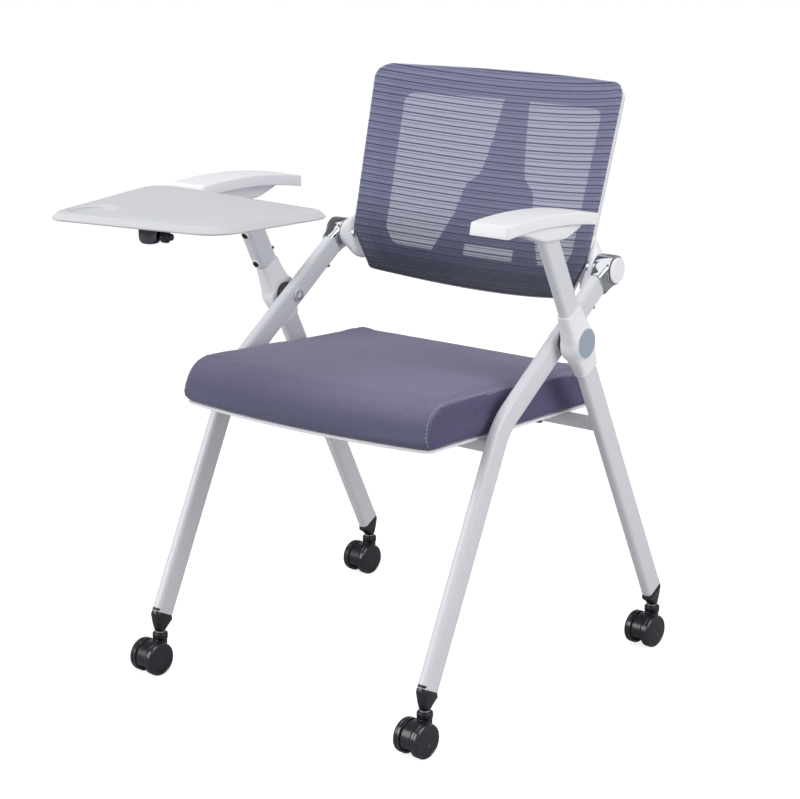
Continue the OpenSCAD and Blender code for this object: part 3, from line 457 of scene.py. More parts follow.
def smooth(mesh, crease):
    """Smooth shading, but for edges sharper than the crease in degrees."""
    mesh.shade_smooth()
    mesh.set_sharp_from_angle(angle=math.radians(crease))


def link(name, mesh):
    """A new object in the scene for a mesh."""
    obj = bpy.data.objects.new(name, mesh)
    bpy.context.scene.collection.objects.link(obj)
    return obj


def dress(obj, material, body, slot, *nodes):
    """The piece gets its finish, rides on a body and stands for the CAD nodes that it replaces."""
    obj.data.materials.clear()
    obj.data.materials.append(material)
    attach(obj, body)
    if nodes:
        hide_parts(*nodes)
    return obj


def make(name, forms, material, body, slot, *nodes, crease=38):
    """A finished piece from forms."""
    return dress(link(name, mesh_of(name, forms, crease)), material, body, slot, *nodes)


def make_pair(name, forms, material, body, slot, node, crease=38):
    """The left piece as it is drawn and the right one mirrored, each for its own CAD node."""
    for side, way in (("_left", lambda form: form), ("_right", mirror)):
        make(name + side, [way(form) for form in forms], material, body, slot, node + side,
             crease=crease)


# %% Modifiers made final
SOFTEN = 0.5


def baked(obj):
    """The object's mesh with its modifiers applied. The object itself is removed."""
    graph = bpy.context.evaluated_depsgraph_get()
    mesh = bpy.data.meshes.new_from_object(obj.evaluated_get(graph))
    bpy.data.objects.remove(obj)
    return mesh


def fused(name, forms, voxel, rounds, crease=180):
    """Joins overlapping forms into one skin with soft inner corners, as a moulding has."""
    obj = link(name, mesh_of(name, forms))
    remesh = obj.modifiers.new("join", "REMESH")
    remesh.mode, remesh.voxel_size = "VOXEL", voxel * MM
    soften = obj.modifiers.new("soften", "SMOOTH")
    soften.factor, soften.iterations = SOFTEN, rounds
    mesh = baked(obj)
    mesh.name = name
    smooth(mesh, crease)
    return mesh


print("fused mouldings are softened by", SOFTEN, "in each round")

# %% [markdown]
# ## Repeats
# Screws, threads, stitches and perforations are repeats of one small form. Geometry Nodes suits
# them: each place is a point that carries its own turn, and one group sets an instance on every
# point, realizes them and gives them the finish.


# %% A repeater made of Geometry Nodes
def make_repeater():
    """The node group, with the identifiers of its sockets by name."""
    group = bpy.data.node_groups.new("repeater", "GeometryNodeTree")
    sockets = {}
    for name, way, kind in (("Points", "INPUT", "Geometry"), ("Pattern", "INPUT", "Object"),
                            ("Finish", "INPUT", "Material"), ("Pieces", "OUTPUT", "Geometry")):
        sockets[name] = group.interface.new_socket(
            name, in_out=way, socket_type="NodeSocket" + kind).identifier
    start = add(group, "NodeGroupInput")
    sample = add(group, "GeometryNodeObjectInfo", [("Object", start.outputs["Pattern"])])
    own_turn = add(group, "GeometryNodeInputNamedAttribute", [("Name", "turn")],
                   data_type="FLOAT_VECTOR")
    turn = add(group, "FunctionNodeEulerToRotation", [(0, own_turn)])
    pieces = add(group, "GeometryNodeInstanceOnPoints", [
        ("Points", start.outputs["Points"]), ("Instance", sample.outputs["Geometry"]),
        ("Rotation", turn)])
    real = add(group, "GeometryNodeRealizeInstances", [("Geometry", pieces)])
    painted = add(group, "GeometryNodeSetMaterial", [
        ("Geometry", real), ("Material", start.outputs["Finish"])])
    add(group, "NodeGroupOutput", [(0, painted)])
    return group, sockets


REPEATER, SOCKETS = make_repeater()


def repeat(name, spots, axes, pattern, material, body, slot, *nodes, crease=38):
    """Sets a pattern form at every spot, in chair millimetres, with the given axes."""
    points = bpy.data.meshes.new(name)
    points.from_pydata([at(*spot) for spot in spots], [], [])
    turns = [Matrix(np.asarray(a).T.tolist()).to_euler() for a in axes]
    layer = points.attributes.new("turn", "FLOAT_VECTOR", "POINT")
    layer.data.foreach_set("vector", np.array(turns, float).ravel())
    seed = link(name + "_points", points)
    sample = link(name + "_pattern", mesh_of(name + "_pattern", [placed(pattern, -SHIFT / MM)]))
    modifier = seed.modifiers.new("repeat", "NODES")
    modifier.node_group = REPEATER
    modifier[SOCKETS["Pattern"]] = sample
    modifier[SOCKETS["Finish"]] = material
    mesh = baked(seed)
    mesh.name = name
    bpy.data.objects.remove(sample)
    smooth(mesh, crease)
    return dress(link(name, mesh), material, body, slot, *nodes)


def socket_head(radius, height):
    """A socket-head screw: a round head with a recess, drawn from its seat upwards."""
    recess = [(radius * 0.5, height), (radius * 0.5, height * 0.4), (0.2, height * 0.35)]
    return lathe([(0.2, -0.5), (radius, -0.5), (radius, height * 0.75), (radius * 0.92, height)]
                 + recess, 24)


print("repeater has inputs", list(SOCKETS)[:3])

# %% [markdown]
# ## Front frame
# Each front leg is flat-sided steel tube, bent once on a mandrel. Its section is carried along the
# side view: straight, round the bend, straight again. A bevelled curve could sweep the same tube,
# but rings of points keep the flat sides upright through the bend. The crossbar is round tube,
# with a small weld fillet where it meets each leg.

# %% Front legs and crossbar
TUBE_W, TUBE_D, TUBE_R = 16, 34, 6
FRONT_X, REAR_X = 235, in_chair(middle("rear_leg_left")).x
LOW_SLOPE, UP_SLOPE, REAR_SLOPE = 63.3, 33.8, 117.3
LEG_END_Z = 83
BEND, BEND_R = np.array((166, 403)), 89
NECK_FROM = 29
WELD = 4
hub, back_joint = np.array(HUB), np.array(BACK_JOINT)


def front_leg_rings():
    """Sections of the left leg from its cut end, round the bend, to the casting's neck."""
    run = BEND_R * math.tan(math.radians(LOW_SLOPE - UP_SLOPE) / 2)
    centre = BEND - ray(LOW_SLOPE, run) + ray(LOW_SLOPE - 90, BEND_R)
    low_end = BEND - ray(LOW_SLOPE, (BEND[1] - LEG_END_Z) / math.sin(math.radians(LOW_SLOPE)))
    stations = [(low_end, LOW_SLOPE, 0.5), (low_end + ray(LOW_SLOPE, 0.5), LOW_SLOPE, 0)]
    for k in range(21):
        slope = LOW_SLOPE + (UP_SLOPE - LOW_SLOPE) * k / 20
        stations.append((centre + ray(slope + 90, BEND_R), slope, 0))
    stations.append((back_joint - ray(UP_SLOPE, NECK_FROM - 2), UP_SLOPE, 0))
    return [ring_at(FRONT_X, spot, slope, TUBE_W - 2 * inset, TUBE_D - 2 * inset, TUBE_R)
            for spot, slope, inset in stations]


def crossbar(node, leg_x):
    """A round bar with a weld fillet at each leg, where the CAD model's bar lies."""
    low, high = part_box(node)
    spot = in_chair(middle(node))
    radius = (high[2] - low[2]) / 2 / MM
    weld_from = leg_x - TUBE_W / 2 - WELD
    half = [(radius, 0), (radius, weld_from)]
    half += [(radius + 3 * (1 - math.cos(t)), weld_from + 3.8 * math.sin(t))
             for t in np.linspace(0.2, 1.5, 7)]
    whole = [(r, -x) for r, x in half[:0:-1]] + half
    return across(whole, (spot.y, spot.z), 48)


leg = skin(front_leg_rings())
make_pair("front_leg_tube", [leg], enamel, "front_frame", "white_enamel", "front_leg")
make("front_crossbar_tube", [crossbar("front_crossbar", FRONT_X)], enamel, "front_frame",
     "white_enamel", "front_crossbar")
print("front legs bend at", BEND)

# %% [markdown]
# ## Foot plugs
# A nylon plug closes each cut tube. It starts flush with the tube, swells by a millimetre as a
# stop, and tapers to the socket of the caster's stem. Rings turn from the tube's slope to level on
# the way down.


# %% Foot plugs
STEM_TOP = 58.5


def foot_plug(x, spot, slope, stem_y):
    """A plug from the tube's end at spot to the top of the caster stem at stem_y."""
    top, foot = np.array(spot, float), np.array((stem_y, STEM_TOP))
    rings = []
    for t, width, depth, radius in (
            (-0.2, 15, 33, 5.5), (0.0, 15.6, 33.6, 5.8), (0.04, 16.4, 34.4, 6),
            (0.2, 17.4, 35.4, 6),
            (0.26, 17.4, 35, 6.2), (0.32, 17, 33.4, 6.5), (0.6, 16.2, 25.8, 6.6),
            (0.86, 15.4, 18, 6.6), (0.94, 15, 16.2, 6.8), (1.0, 12.8, 13, 6.2)):
        turn = min(max((t - 0.24) / 0.7, 0), 1)
        rings.append(ring_at(x, top + (foot - top) * t, slope + (90 - slope) * turn,
                             width, depth, radius))
    return skin(rings)


front_end = BEND - ray(LOW_SLOPE, (BEND[1] - LEG_END_Z) / math.sin(math.radians(LOW_SLOPE)))
rear_end = hub - ray(REAR_SLOPE, (hub[1] - LEG_END_Z) / math.sin(math.radians(REAR_SLOPE)))
WHEELBASE = in_chair(middle("caster_stem_rl")).y
make("front_plugs", both(foot_plug(FRONT_X, front_end, LOW_SLOPE, 0)), black_nylon,
     "front_frame", "black_plastic", "front_foot_plugs")
make("rear_plugs", both(foot_plug(REAR_X, rear_end, REAR_SLOPE, WHEELBASE)), black_nylon,
     "rear_frame", "black_plastic", "rear_foot_plugs")
print("foot plugs on legs that end at", front_end, rear_end)

# %% [markdown]
# ## Chrome back joints
# Each front leg ends in a plated casting: a barrel across the chair and a neck that flares from
# the tube's section. The barrel is turned. The neck is a loft whose sides curve in, so its edges
# catch long highlights. A white cap closes the barrel, behind a dark nylon ring in the recess that
# is painted shade.

# %% Back joints
BARREL_IN, BARREL_OUT, BARREL_R = 224, 250, 21
neck = skin([ring_at(FRONT_X, back_joint - ray(UP_SLOPE, s), UP_SLOPE, w, d, r) for s, w, d, r in (
    (31.5, 17, 35, 6), (31, 18.4, 36.4, 6.6), (28.5, 19, 37, 6.6), (25, 19.4, 36.4, 6),
    (21, 20.4, 36.2, 5.5), (17, 21.8, 36.8, 5), (13, 23.4, 38, 5), (9, 24.8, 39.4, 6),
    (4, 25.8, 41, 9), (0, 25.8, 41.6, 10))])
neck = neck[0] + (2, 0, 0), neck[1]
barrel = across([(12, BARREL_IN), (19.6, BARREL_IN), (20.7, BARREL_IN + 0.5),
                 (BARREL_R, BARREL_IN + 1.6), (BARREL_R, BARREL_OUT - 1.6),
                 (20.7, BARREL_OUT - 0.5), (19.8, BARREL_OUT), (12, BARREL_OUT)], back_joint)
make_pair("joint_casting", [neck, barrel], chrome, "front_frame", "chrome", "back_joint")
# Painted shade: a dark nylon ring in the recess between barrel and cap.
ring = across([(17, BARREL_OUT - 0.3), (19.2, BARREL_OUT - 0.3), (19.2, BARREL_OUT + 0.8),
               (17, BARREL_OUT + 0.8)], back_joint)
make("joint_rings", both(ring), nylon, "front_frame", "dark_plastic")
cap = across([(1, BARREL_OUT + 0.4), (17.6, BARREL_OUT + 0.4), (18.2, BARREL_OUT + 0.9),
              (18.2, BARREL_OUT + 2.2), (17.2, BARREL_OUT + 3.1), (15.8, BARREL_OUT + 3.3),
              (15.4, BARREL_OUT + 2.9), (14.8, BARREL_OUT + 2.9), (14.4, BARREL_OUT + 3.3),
              (1, BARREL_OUT + 3.6)], back_joint)
make("joint_caps", both(cap), moulded, "front_frame", "white_plastic", "back_joint_caps")
print("back joints at", back_joint)

# %% Screws and spacers of the front frame
screw_at = back_joint - ray(UP_SLOPE, NECK_FROM + 26)
neck_axes = side_axes(UP_SLOPE)
outward = np.array([neck_axes[0], -neck_axes[2], neck_axes[1]])
seat_y, seat_z = screw_at + neck_axes[1][1:] * TUBE_D / 2
spots = [(x, seat_y, seat_z) for x in (FRONT_X, -FRONT_X)]
repeat("joint_set_screws", spots, [outward] * 2, socket_head(3, 5), black_oxide, "front_frame",
       "black_steel", "joint_screws")
inward = [np.array([(0, 1, 0), (0, 0, -way), (-way, 0, 0)]) for way in (1, -1)]
face = FRONT_X - TUBE_W / 2
repeat("hub_bolt_heads", [(face, *hub), (-face, *hub)], inward, socket_head(9, 4.5), zinc,
       "front_frame", "zinc_steel")
spacer = across([(5, 243), (16, 243), (17, 243.6), (17, 251.2), (16, 251.8), (5, 251.8)], hub)
make("spacers", both(spacer), nylon, "front_frame", "dark_plastic", "hub_spacers")
print("pivot hardware at", hub)

# %% [markdown]
# ## Rear frame
# The rear legs are straight tubes of the same section. Where they cross the front legs, a moulded
# cover hides the pivot. It is a sleeve that fits the tube closely at both ends, a round boss that
# carries a grey-blue disc, a shoulder that widens towards the boss, and a ramp below it. Separate
# simple forms overlap, and a voxel remesh joins them with the soft inner corners of a moulding.

# %% Rear legs
arm_top = in_chair(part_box("armrest_left")[1]).z
rear_top = hub + ray(REAR_SLOPE, (arm_top - 30 - hub[1]) / math.sin(math.radians(REAR_SLOPE)))
rear_leg = skin([ring_at(REAR_X, spot, REAR_SLOPE, TUBE_W - 2 * inset, TUBE_D - 2 * inset, TUBE_R)
                 for spot, inset in ((rear_end, 0.5), (rear_end + ray(REAR_SLOPE, 0.5), 0),
                                     (hub, 0), (rear_top, 0))])
make_pair("rear_leg_tube", [rear_leg], enamel, "rear_frame", "white_enamel", "rear_leg")
make("rear_crossbar_tube", [crossbar("rear_crossbar", REAR_X)], enamel, "rear_frame",
     "white_enamel", "rear_crossbar")
print("rear legs run from", rear_end, "to", rear_top)


# %% Hub covers
def sleeve_ring(s, left, right, depth, radius, shift=0.0):
    """A section of the cover at s along the leg, from left to right of the leg's middle."""
    ring = ring_at(REAR_X + (left + right) / 2, hub + ray(REAR_SLOPE, s), REAR_SLOPE,
                   right - left, depth, radius)
    return ring + np.array((0, *(ray(REAR_SLOPE - 90, 1) * shift)))


upper = skin([sleeve_ring(*row) for row in (
    (54, -10, 10, 38, 7), (48, -10.3, 10.3, 38.4, 7), (40, -10.8, 11, 39.4, 7),
    (30, -11.4, 12, 41.5, 7), (20, -12, 12.8, 45, 7), (10, -12, 13, 48, 8), (0, -12, 13, 48, 8))])
lower = skin([sleeve_ring(*row) for row in (
    (-47, -10, 10, 38, 7), (-42, -10.2, 10.2, 38.4, 7), (-36, -10.8, 10.6, 39, 7),
    (-30, -11.6, 11, 41, 7), (-24, -12, 11.6, 44, 7), (-12, -12, 12.8, 48, 8),
    (0, -12, 13, 48, 8))])
BOSS_IN, BOSS_OUT = REAR_X - 12, REAR_X + 14
boss = across([(1, BOSS_IN), (25.6, BOSS_IN), (27, BOSS_IN + 1.4), (26.4, REAR_X + 6),
               (24.6, REAR_X + 10), (22.4, BOSS_OUT - 0.6), (21.6, BOSS_OUT - 0.2),
               (1, BOSS_OUT - 0.2)], hub)
cover = fused("hub_cover", [upper, lower, boss], voxel=0.9, rounds=4)
for side in ("left", "right"):
    mesh = cover.copy()
    if side == "right":
        mesh.transform(Matrix.Translation(SHIFT) @ Matrix.Scale(-1, 4, (1, 0, 0))
                       @ Matrix.Translation(-SHIFT))
        mesh.flip_normals()
    dress(link("hub_cover_shell_" + side, mesh), moulded, "rear_frame", "white_plastic",
          "hub_cover_" + side)
rim = across([(20.3, BOSS_OUT - 1.2), (21.8, BOSS_OUT - 1.2), (21.7, BOSS_OUT + 0.1),
              (21.2, BOSS_OUT + 0.5), (20.7, BOSS_OUT + 0.5), (20.3, BOSS_OUT + 0.1)], hub,
             closed=True)
make("hub_rims", both(rim), moulded, "rear_frame", "white_plastic")
disc = across([(1, BOSS_OUT - 1), (20, BOSS_OUT - 1), (20, BOSS_OUT + 0.1),
               (19.5, BOSS_OUT + 0.6), (1, BOSS_OUT + 0.9)], hub)
make("hub_discs", both(disc), cap_blue, "rear_frame", "cap_plastic", "hub_caps")
print("hub covers have", len(cover.polygons), "faces each")

# %% [markdown]
# ## Casters
# A twin-wheel caster is two black wheels on one axle, with a hood between them. The wheels are
# turned: the tread has a groove, and a bright shoulder runs round the face. The hood is a curved
# fender over a web, joined to the round collar of the stem, so those forms are remeshed into one
# soft moulding. All four casters point the same way.

# %% Casters
TURN, AXLE = math.radians(-5), np.array((-17, 24))
CASTER_AXES = np.array([(math.cos(TURN), math.sin(TURN), 0), (-math.sin(TURN), math.cos(TURN), 0),
                        (0, 0, 1)])
wheel = across([(1, 9.3), (17.5, 9.3), (18.5, 9.9), (21.6, 9.9), (22.6, 9.2), (23.4, 9.5),
                (24, 10.4), (24, 13.6), (23.3, 14.1), (23.3, 14.7), (24, 15.2), (24, 17.9),
                (23.6, 19.2), (22.5, 20.2), (21.3, 20.6), (20.5, 20.1), (19.7, 20.2), (14, 20.8),
                (7, 21), (6.4, 20.5), (1, 20.5)], AXLE, 96)
axle = across([(1, -16.8), (3.2, -16.8), (4, -16), (4, 16), (3.2, 16.8), (1, 16.8)], AXLE, 32)
fender = skin([ring_at(0, AXLE + ray(turn, 20.9), turn + 90, 17.2, 3.4, 1.3)
               for turn in range(18, 205, 6)])
web = skin([ring_at(0, AXLE + ray(turn, 11), turn + 90, 6, 20, 1) for turn in range(18, 190, 8)])
middle_boss = across([(1, -8.6), (6.5, -8.6), (7, -8.2), (7, 8.2), (6.5, 8.6), (1, 8.6)], AXLE, 32)
column = skin([ring_at(0, (y, z), 90, w, d, r) for y, z, w, d, r in (
    (0.5, 20, 15, 9, 2), (0.8, 22, 17, 11, 3), (0.2, 34, 17.2, 14, 3.4), (-0.6, 44, 17.2, 18, 5),
    (0, 49, 19, 20, 8))])
collar = lathe([(1, 47), (10, 47), (11, 48.2), (11, 54.6), (10.4, 55.8), (9.6, 56.1), (1, 56.1)],
               48)
hood = fused("caster_hood", [fender, web, middle_boss, column, collar], voxel=0.7, rounds=2,
             crease=40)
stem = lathe([(1, 40), (5.5, 40), (5.5, 56.2), (7.1, 56.2), (7.5, 56.6), (7.5, 57.8), (7.1, 58.2),
              (5.5, 58.2), (5.5, 80), (1, 80)], 48)
for corner in ("fl", "fr", "rl", "rr"):
    spot = in_chair(middle("caster_stem_" + corner))
    floor_point = (spot.x, spot.y, 0)
    carrier, wheels = "caster_" + corner, "wheels_" + corner
    mesh = hood.copy()
    mesh.transform(Matrix.Translation(at(*floor_point)) @ Matrix.Rotation(TURN, 4, "Z")
                   @ Matrix.Translation(-SHIFT))
    dress(link("caster_hood_shell_" + corner, mesh), black_nylon, carrier, "black_plastic",
          "caster_hood_" + corner)
    make("caster_stem_ring_" + corner, [placed(stem, floor_point, CASTER_AXES)], zinc, carrier,
         "zinc_steel", "caster_stem_" + corner)
    make("caster_wheel_pair_" + corner, [placed(half, floor_point, CASTER_AXES)
                                         for half in both(wheel)], polyurethane, wheels,
         "wheel_rubber", "caster_wheels_" + corner, crease=30)
    make("caster_axle_pin_" + corner, [placed(axle, floor_point, CASTER_AXES)], zinc, wheels,
         "zinc_steel", "caster_axle_" + corner)
print("casters have hoods of", len(hood.polygons), "faces")

# %% [markdown]
# ## Armrests
# Each pad is one moulding: flat across, arched from front to rear, with crisp edges. Sections of
# the pad follow the arch, and shrink at both ends to round the plan's corners. The bracket under
# it is a wedge that swallows the top of the leg. It stays half a millimetre below the pad, so a
# dark line parts them as on the real chair.

# %% Arm pads
ARM_LOW, ARM_HIGH = (in_chair(v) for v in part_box("armrest_left"))
ARM_X, ARM_W, ARM_H = (ARM_LOW.x + ARM_HIGH.x) / 2, ARM_HIGH.x - ARM_LOW.x, 16
ARM_FRONT, ARM_REAR = ARM_LOW.y, ARM_HIGH.y
ARCH_R, PEAK_Y = 809, 163.6
ARM_TOP = ARM_HIGH.z
PAD_CORNER, PAD_EDGE = 5, 1.8
FRONT_LEAN, REAR_LEAN = -4, 1


def arch_top(y):
    """The height of the pad's arched top at y."""
    return ARM_TOP - ARCH_R + math.sqrt(ARCH_R ** 2 - (y - PEAK_Y) ** 2)


def rounding(radius, from_end):
    """How far a rounded end draws in at a distance from the end."""
    return radius - math.sqrt(max(0, radius ** 2 - max(0, radius - from_end) ** 2))


def pad_section(y, from_end, lean):
    """A section of the pad at y, rounded off near the end and leaning by a few millimetres."""
    plan, edge = rounding(PAD_CORNER, from_end), rounding(PAD_EDGE, from_end)
    section = []
    for px, pz in oblong(ARM_W - 2 * plan, ARM_H - 2 * edge, PAD_EDGE, 5):
        leaning = y + lean * (0.5 - pz / ARM_H)
        section.append((ARM_X + px, leaning, arch_top(leaning) - ARM_H / 2 + pz))
    return np.array(section)


def arm_pad():
    """Sections from front to rear. Both ends lean, and draw in over the corner's radius."""
    ends = (0, 0.3, 0.8, 1.8, 3.2, PAD_CORNER)
    front, rear = ARM_FRONT - FRONT_LEAN, ARM_REAR - REAR_LEAN
    rings = [pad_section(front + d, d, FRONT_LEAN) for d in ends]
    for along in np.linspace(0, 1, 35)[1:-1]:
        y = front + PAD_CORNER + (rear - front - 2 * PAD_CORNER) * along
        rings.append(pad_section(y, ARM_W, FRONT_LEAN + (REAR_LEAN - FRONT_LEAN) * along))
    return skin(rings + [pad_section(rear - d, d, REAR_LEAN) for d in ends[::-1]])


make_pair("arm_pad", [arm_pad()], moulded, "rear_frame", "white_plastic", "armrest", crease=50)
print("arm pads arch up to", round(ARM_TOP), "mm")

# %% Arm brackets and their screws
BRACKET_W = 30
GAP = 0.5
wedge = []
for y, drop, width, radius in ((143.5, 1.2, 22, 0.5), (144.5, 2.4, 25, 1), (150, 5, 28, 2),
                               (164, 9.2, BRACKET_W, 3), (180, 14.6, BRACKET_W, 3.6),
                               (194, 19, BRACKET_W, 4), (202, 20.6, BRACKET_W, 4),
                               (230, 20.2, BRACKET_W, 4), (246, 19.4, BRACKET_W, 4),
                               (256, 16, BRACKET_W, 4), (268, 10.4, BRACKET_W, 3),
                               (280, 5, 28, 2), (285, 2.6, 25, 1), (286.5, 1.2, 22, 0.5)):
    under = arch_top(y) - ARM_H - GAP
    section = oblong(width, drop, min(radius, drop / 2.2), 5)
    wedge.append(np.column_stack([REAR_X + section[:, 0], np.full(len(section), y),
                                  under - drop / 2 + section[:, 1]]))
make_pair("arm_wedge", [skin(wedge)], moulded, "rear_frame", "white_plastic", "arm_bracket",
          crease=50)
spots = [(side * REAR_X, y, arch_top(y) - ARM_H - drop) for side in (1, -1)
         for y, drop in ((172, 12), (272.8, 8.6))]
repeat("arm_screw_heads", spots, [TURNED] * 4, socket_head(4.2, 2.6), zinc, "rear_frame",
       "zinc_steel", "arm_screws")
print("arm brackets with", len(spots), "screws")

# %% [markdown]
# ## Tablet support
# A steel channel is bolted to the front of the right rear leg. A sleeve on it holds the flip hinge.
# The arm swings out from there and rises smoothly to a nickel-plated housing, where the tablet
# turns. The arm is a flat bar carried along a curve through four places, and joined to its hinge
# sleeve by a remesh, as a cast arm would be.

# %% Channel bracket
leg_top = in_chair(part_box("rear_leg_right")[1]).z
LEG_UP = (leg_top - hub[1]) / math.sin(math.radians(REAR_SLOPE))
PIN_AT = in_chair(middle("tablet_hinge_pin"))
FLIP_Y = 166
BOLTS_AT = (66, 117)


def channel_ring(s):
    """The channel's U section at s along the leg: out and back round the bends, then inside."""
    outer, inner, lip = 10.6, 8.2, -1.4
    quarter = [(math.cos(t), math.sin(t)) for t in np.linspace(0, math.pi / 2, 6)]
    outside = [(outer, lip)] + [(outer - 6 + 6 * c, -14.2 - 6 * n) for c, n in quarter]
    inside = [(inner, lip)] + [(inner - 5 + 5 * c, -12.3 - 5 * n) for c, n in quarter]
    flat = outside + [(-px, d) for px, d in outside[::-1]]
    flat += [(-px, d) for px, d in inside] + inside[::-1]
    lean, spot = math.radians(REAR_SLOPE), hub + ray(REAR_SLOPE, s)
    return np.array([(-REAR_X + px, spot[0] + d * math.sin(lean), spot[1] - d * math.cos(lean))
                     for px, d in flat])


def along_y(profile, x, z, sides=48):
    """A turned form around a level axis that runs to the rear, from (radius, y) pairs."""
    return placed(lathe(profile, sides), (x, 0, z), REARWARD)


channel = skin([channel_ring(58), channel_ring(59), channel_ring(LEG_UP - 15),
                channel_ring(LEG_UP - 14)])
sleeve = along_y([(1, FLIP_Y + 0.4), (11.2, FLIP_Y + 0.4), (12, FLIP_Y + 1.2), (12, FLIP_Y + 47),
                  (11, FLIP_Y + 52), (1, FLIP_Y + 52)], PIN_AT.x, PIN_AT.z)
channel_mesh = fused("tablet_channel", [channel, sleeve], voxel=0.8, rounds=3, crease=50)
dress(link("tablet_channel", channel_mesh), enamel, "rear_frame", "white_enamel",
      "tablet_bracket")
front_way = np.array([(1, 0, 0), *[(0, *v) for v in (ray(REAR_SLOPE), -ray(REAR_SLOPE - 90))]])
bolt_spots = [(-REAR_X, *(hub + ray(REAR_SLOPE, s) - ray(REAR_SLOPE - 90, 20.2)))
              for s in BOLTS_AT]
repeat("channel_bolt_rims", bolt_spots, [front_way] * 2,
       lathe([(4.9, -1), (7, -1), (7, 0.5), (6.4, 1.1), (5.4, 1.1), (4.9, 0.6)], 32, True), moulded,
       "rear_frame", "white_plastic")
repeat("channel_bolts", bolt_spots, [front_way] * 2, socket_head(4.6, 1.6), black_oxide,
       "rear_frame", "black_steel", "tablet_bracket_bolts")
tips = [(-REAR_X, *(hub + ray(REAR_SLOPE, s) + ray(REAR_SLOPE - 90, 16))) for s in BOLTS_AT]
repeat("channel_bolt_tips", tips, [TURNED @ front_way] * 2,
       lathe([(1, 0), (2.5, 0), (2.5, 6.4), (1.8, 7), (1, 7)], 20), black_oxide, "rear_frame",
       "black_steel")
print("tablet support reaches", round(LEG_UP - 14), "mm above the hub")

# %% Tablet arm
BOARD_LOW, BOARD_TOP = (in_chair(v).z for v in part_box("tablet_board"))
SWIVEL = in_chair(middle("tablet_swivel_housing"))
HOUSING_LOW, HOUSING_TOP = (in_chair(v).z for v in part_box("tablet_swivel_housing"))


def smooth_path(stops, steps):
    """Points and directions of a Catmull-Rom curve through the stops."""
    stops = np.array(stops, float)
    stops = np.vstack([2 * stops[0] - stops[1], stops, 2 * stops[-1] - stops[-2]])
    spots = []
    for a, b, c, d in zip(stops, stops[1:], stops[2:], stops[3:]):
        for t in np.linspace(0, 1, steps, endpoint=False):
            spots.append(0.5 * (2 * b + (c - a) * t + (2 * a - 5 * b + 4 * c - d) * t * t
                                + (3 * b - a - 3 * c + d) * t ** 3))
    spots.append(stops[-2])
    return np.array(spots), np.gradient(spots, axis=0)


def bar_along(stops, width, depth, radius, steps=8):
    """A flat bar whose width stays level along a curve."""
    flat = oblong(width, depth, radius, 6)
    rings = []
    for spot, way in zip(*smooth_path(stops, steps)):
        way = way / np.linalg.norm(way)
        level = np.cross(way, (0, 0, 1))
        level /= np.linalg.norm(level)
        rise = np.cross(level, way)
        rings.append(spot + flat[:, :1] * level + flat[:, 1:] * rise)
    return skin(rings)


stops = [(PIN_AT.x, FLIP_Y - 8, PIN_AT.z), (PIN_AT.x, FLIP_Y - 30, PIN_AT.z + 4),
         (PIN_AT.x + 17, 92, PIN_AT.z + 13.5), (SWIVEL.x - 28, SWIVEL.y + 66, HOUSING_LOW + 17),
         (SWIVEL.x - 4, SWIVEL.y + 12, HOUSING_LOW + 14.5)]
bar = bar_along(stops, 21, 10.6, 4.6)
eye = along_y([(1, FLIP_Y - 27.6), (10.8, FLIP_Y - 27.6), (12, FLIP_Y - 26.4), (12, FLIP_Y - 1),
               (11.2, FLIP_Y - 0.2), (1, FLIP_Y - 0.2)], PIN_AT.x, PIN_AT.z)
arm_mesh = fused("tablet_swing_arm", [bar, eye], voxel=0.9, rounds=4, crease=50)
dress(link("tablet_swing_arm", arm_mesh), enamel, "tablet_arm", "white_enamel", "tablet_arm")
print("tablet arm ends at the housing at", tuple(round(v) for v in SWIVEL))

# %% Hinge pin, swivel housing and lock knob
make("tablet_pin", [along_y([(1, FLIP_Y - 29.4), (5, FLIP_Y - 29.2), (7, FLIP_Y - 28.4),
                             (7, FLIP_Y - 27.4), (6, FLIP_Y - 27), (6, FLIP_Y + 34),
                             (1, FLIP_Y + 34)], PIN_AT.x, PIN_AT.z, 36)], zinc, "tablet_arm",
     "zinc_steel", "tablet_hinge_pin")
bucket = lathe([(1, HOUSING_LOW), (8, HOUSING_LOW + 0.2), (11.4, HOUSING_LOW + 1.2),
                (13.4, HOUSING_LOW + 3.4), (14.5, HOUSING_LOW + 6.6), (15, HOUSING_LOW + 11),
                (15, HOUSING_TOP - 2), (14.5, HOUSING_TOP - 0.6), (13.2, HOUSING_TOP),
                (1, HOUSING_TOP)], 72)
make("swivel_bucket", [placed(bucket, (SWIVEL.x, SWIVEL.y, 0))], black_nickel, "tablet_arm",
     "dark_aluminium", "tablet_swivel_housing")
KNOB_WAY = math.radians(20)
LOBES, GRIP_R = 8, 6
knob = lathe([(1, 8.6), (3.5, 8.6), (3.5, 16.6), (6.6, 16.8), (8, 17.6), (8.4, 19), (8.4, 25.4),
              (7.9, 26.6), (6.4, 27.2), (5, 27.8), (4.7, 31.4), (3.8, 32.7), (1, 33.1)], 64)
turns = np.arctan2(knob[0][:, 1], knob[0][:, 0])
reach = np.hypot(knob[0][:, 0], knob[0][:, 1])
dents = 1 - 0.05 * np.abs(np.sin(LOBES / 2 * turns))
knob[0][:, :2] *= np.where(reach > GRIP_R, dents, 1)[:, None]
knob_axes = np.array([(0, 0, -1), (-math.sin(KNOB_WAY), math.cos(KNOB_WAY), 0),
                      (math.cos(KNOB_WAY), math.sin(KNOB_WAY), 0)])
make("lock_knob", [placed(knob, (SWIVEL.x, SWIVEL.y, HOUSING_LOW + 10), knob_axes)], black_nylon,
     "tablet_lock", "black_plastic", "tablet_lock_knob", crease=50)
print("lock knob has", LOBES, "lobes")

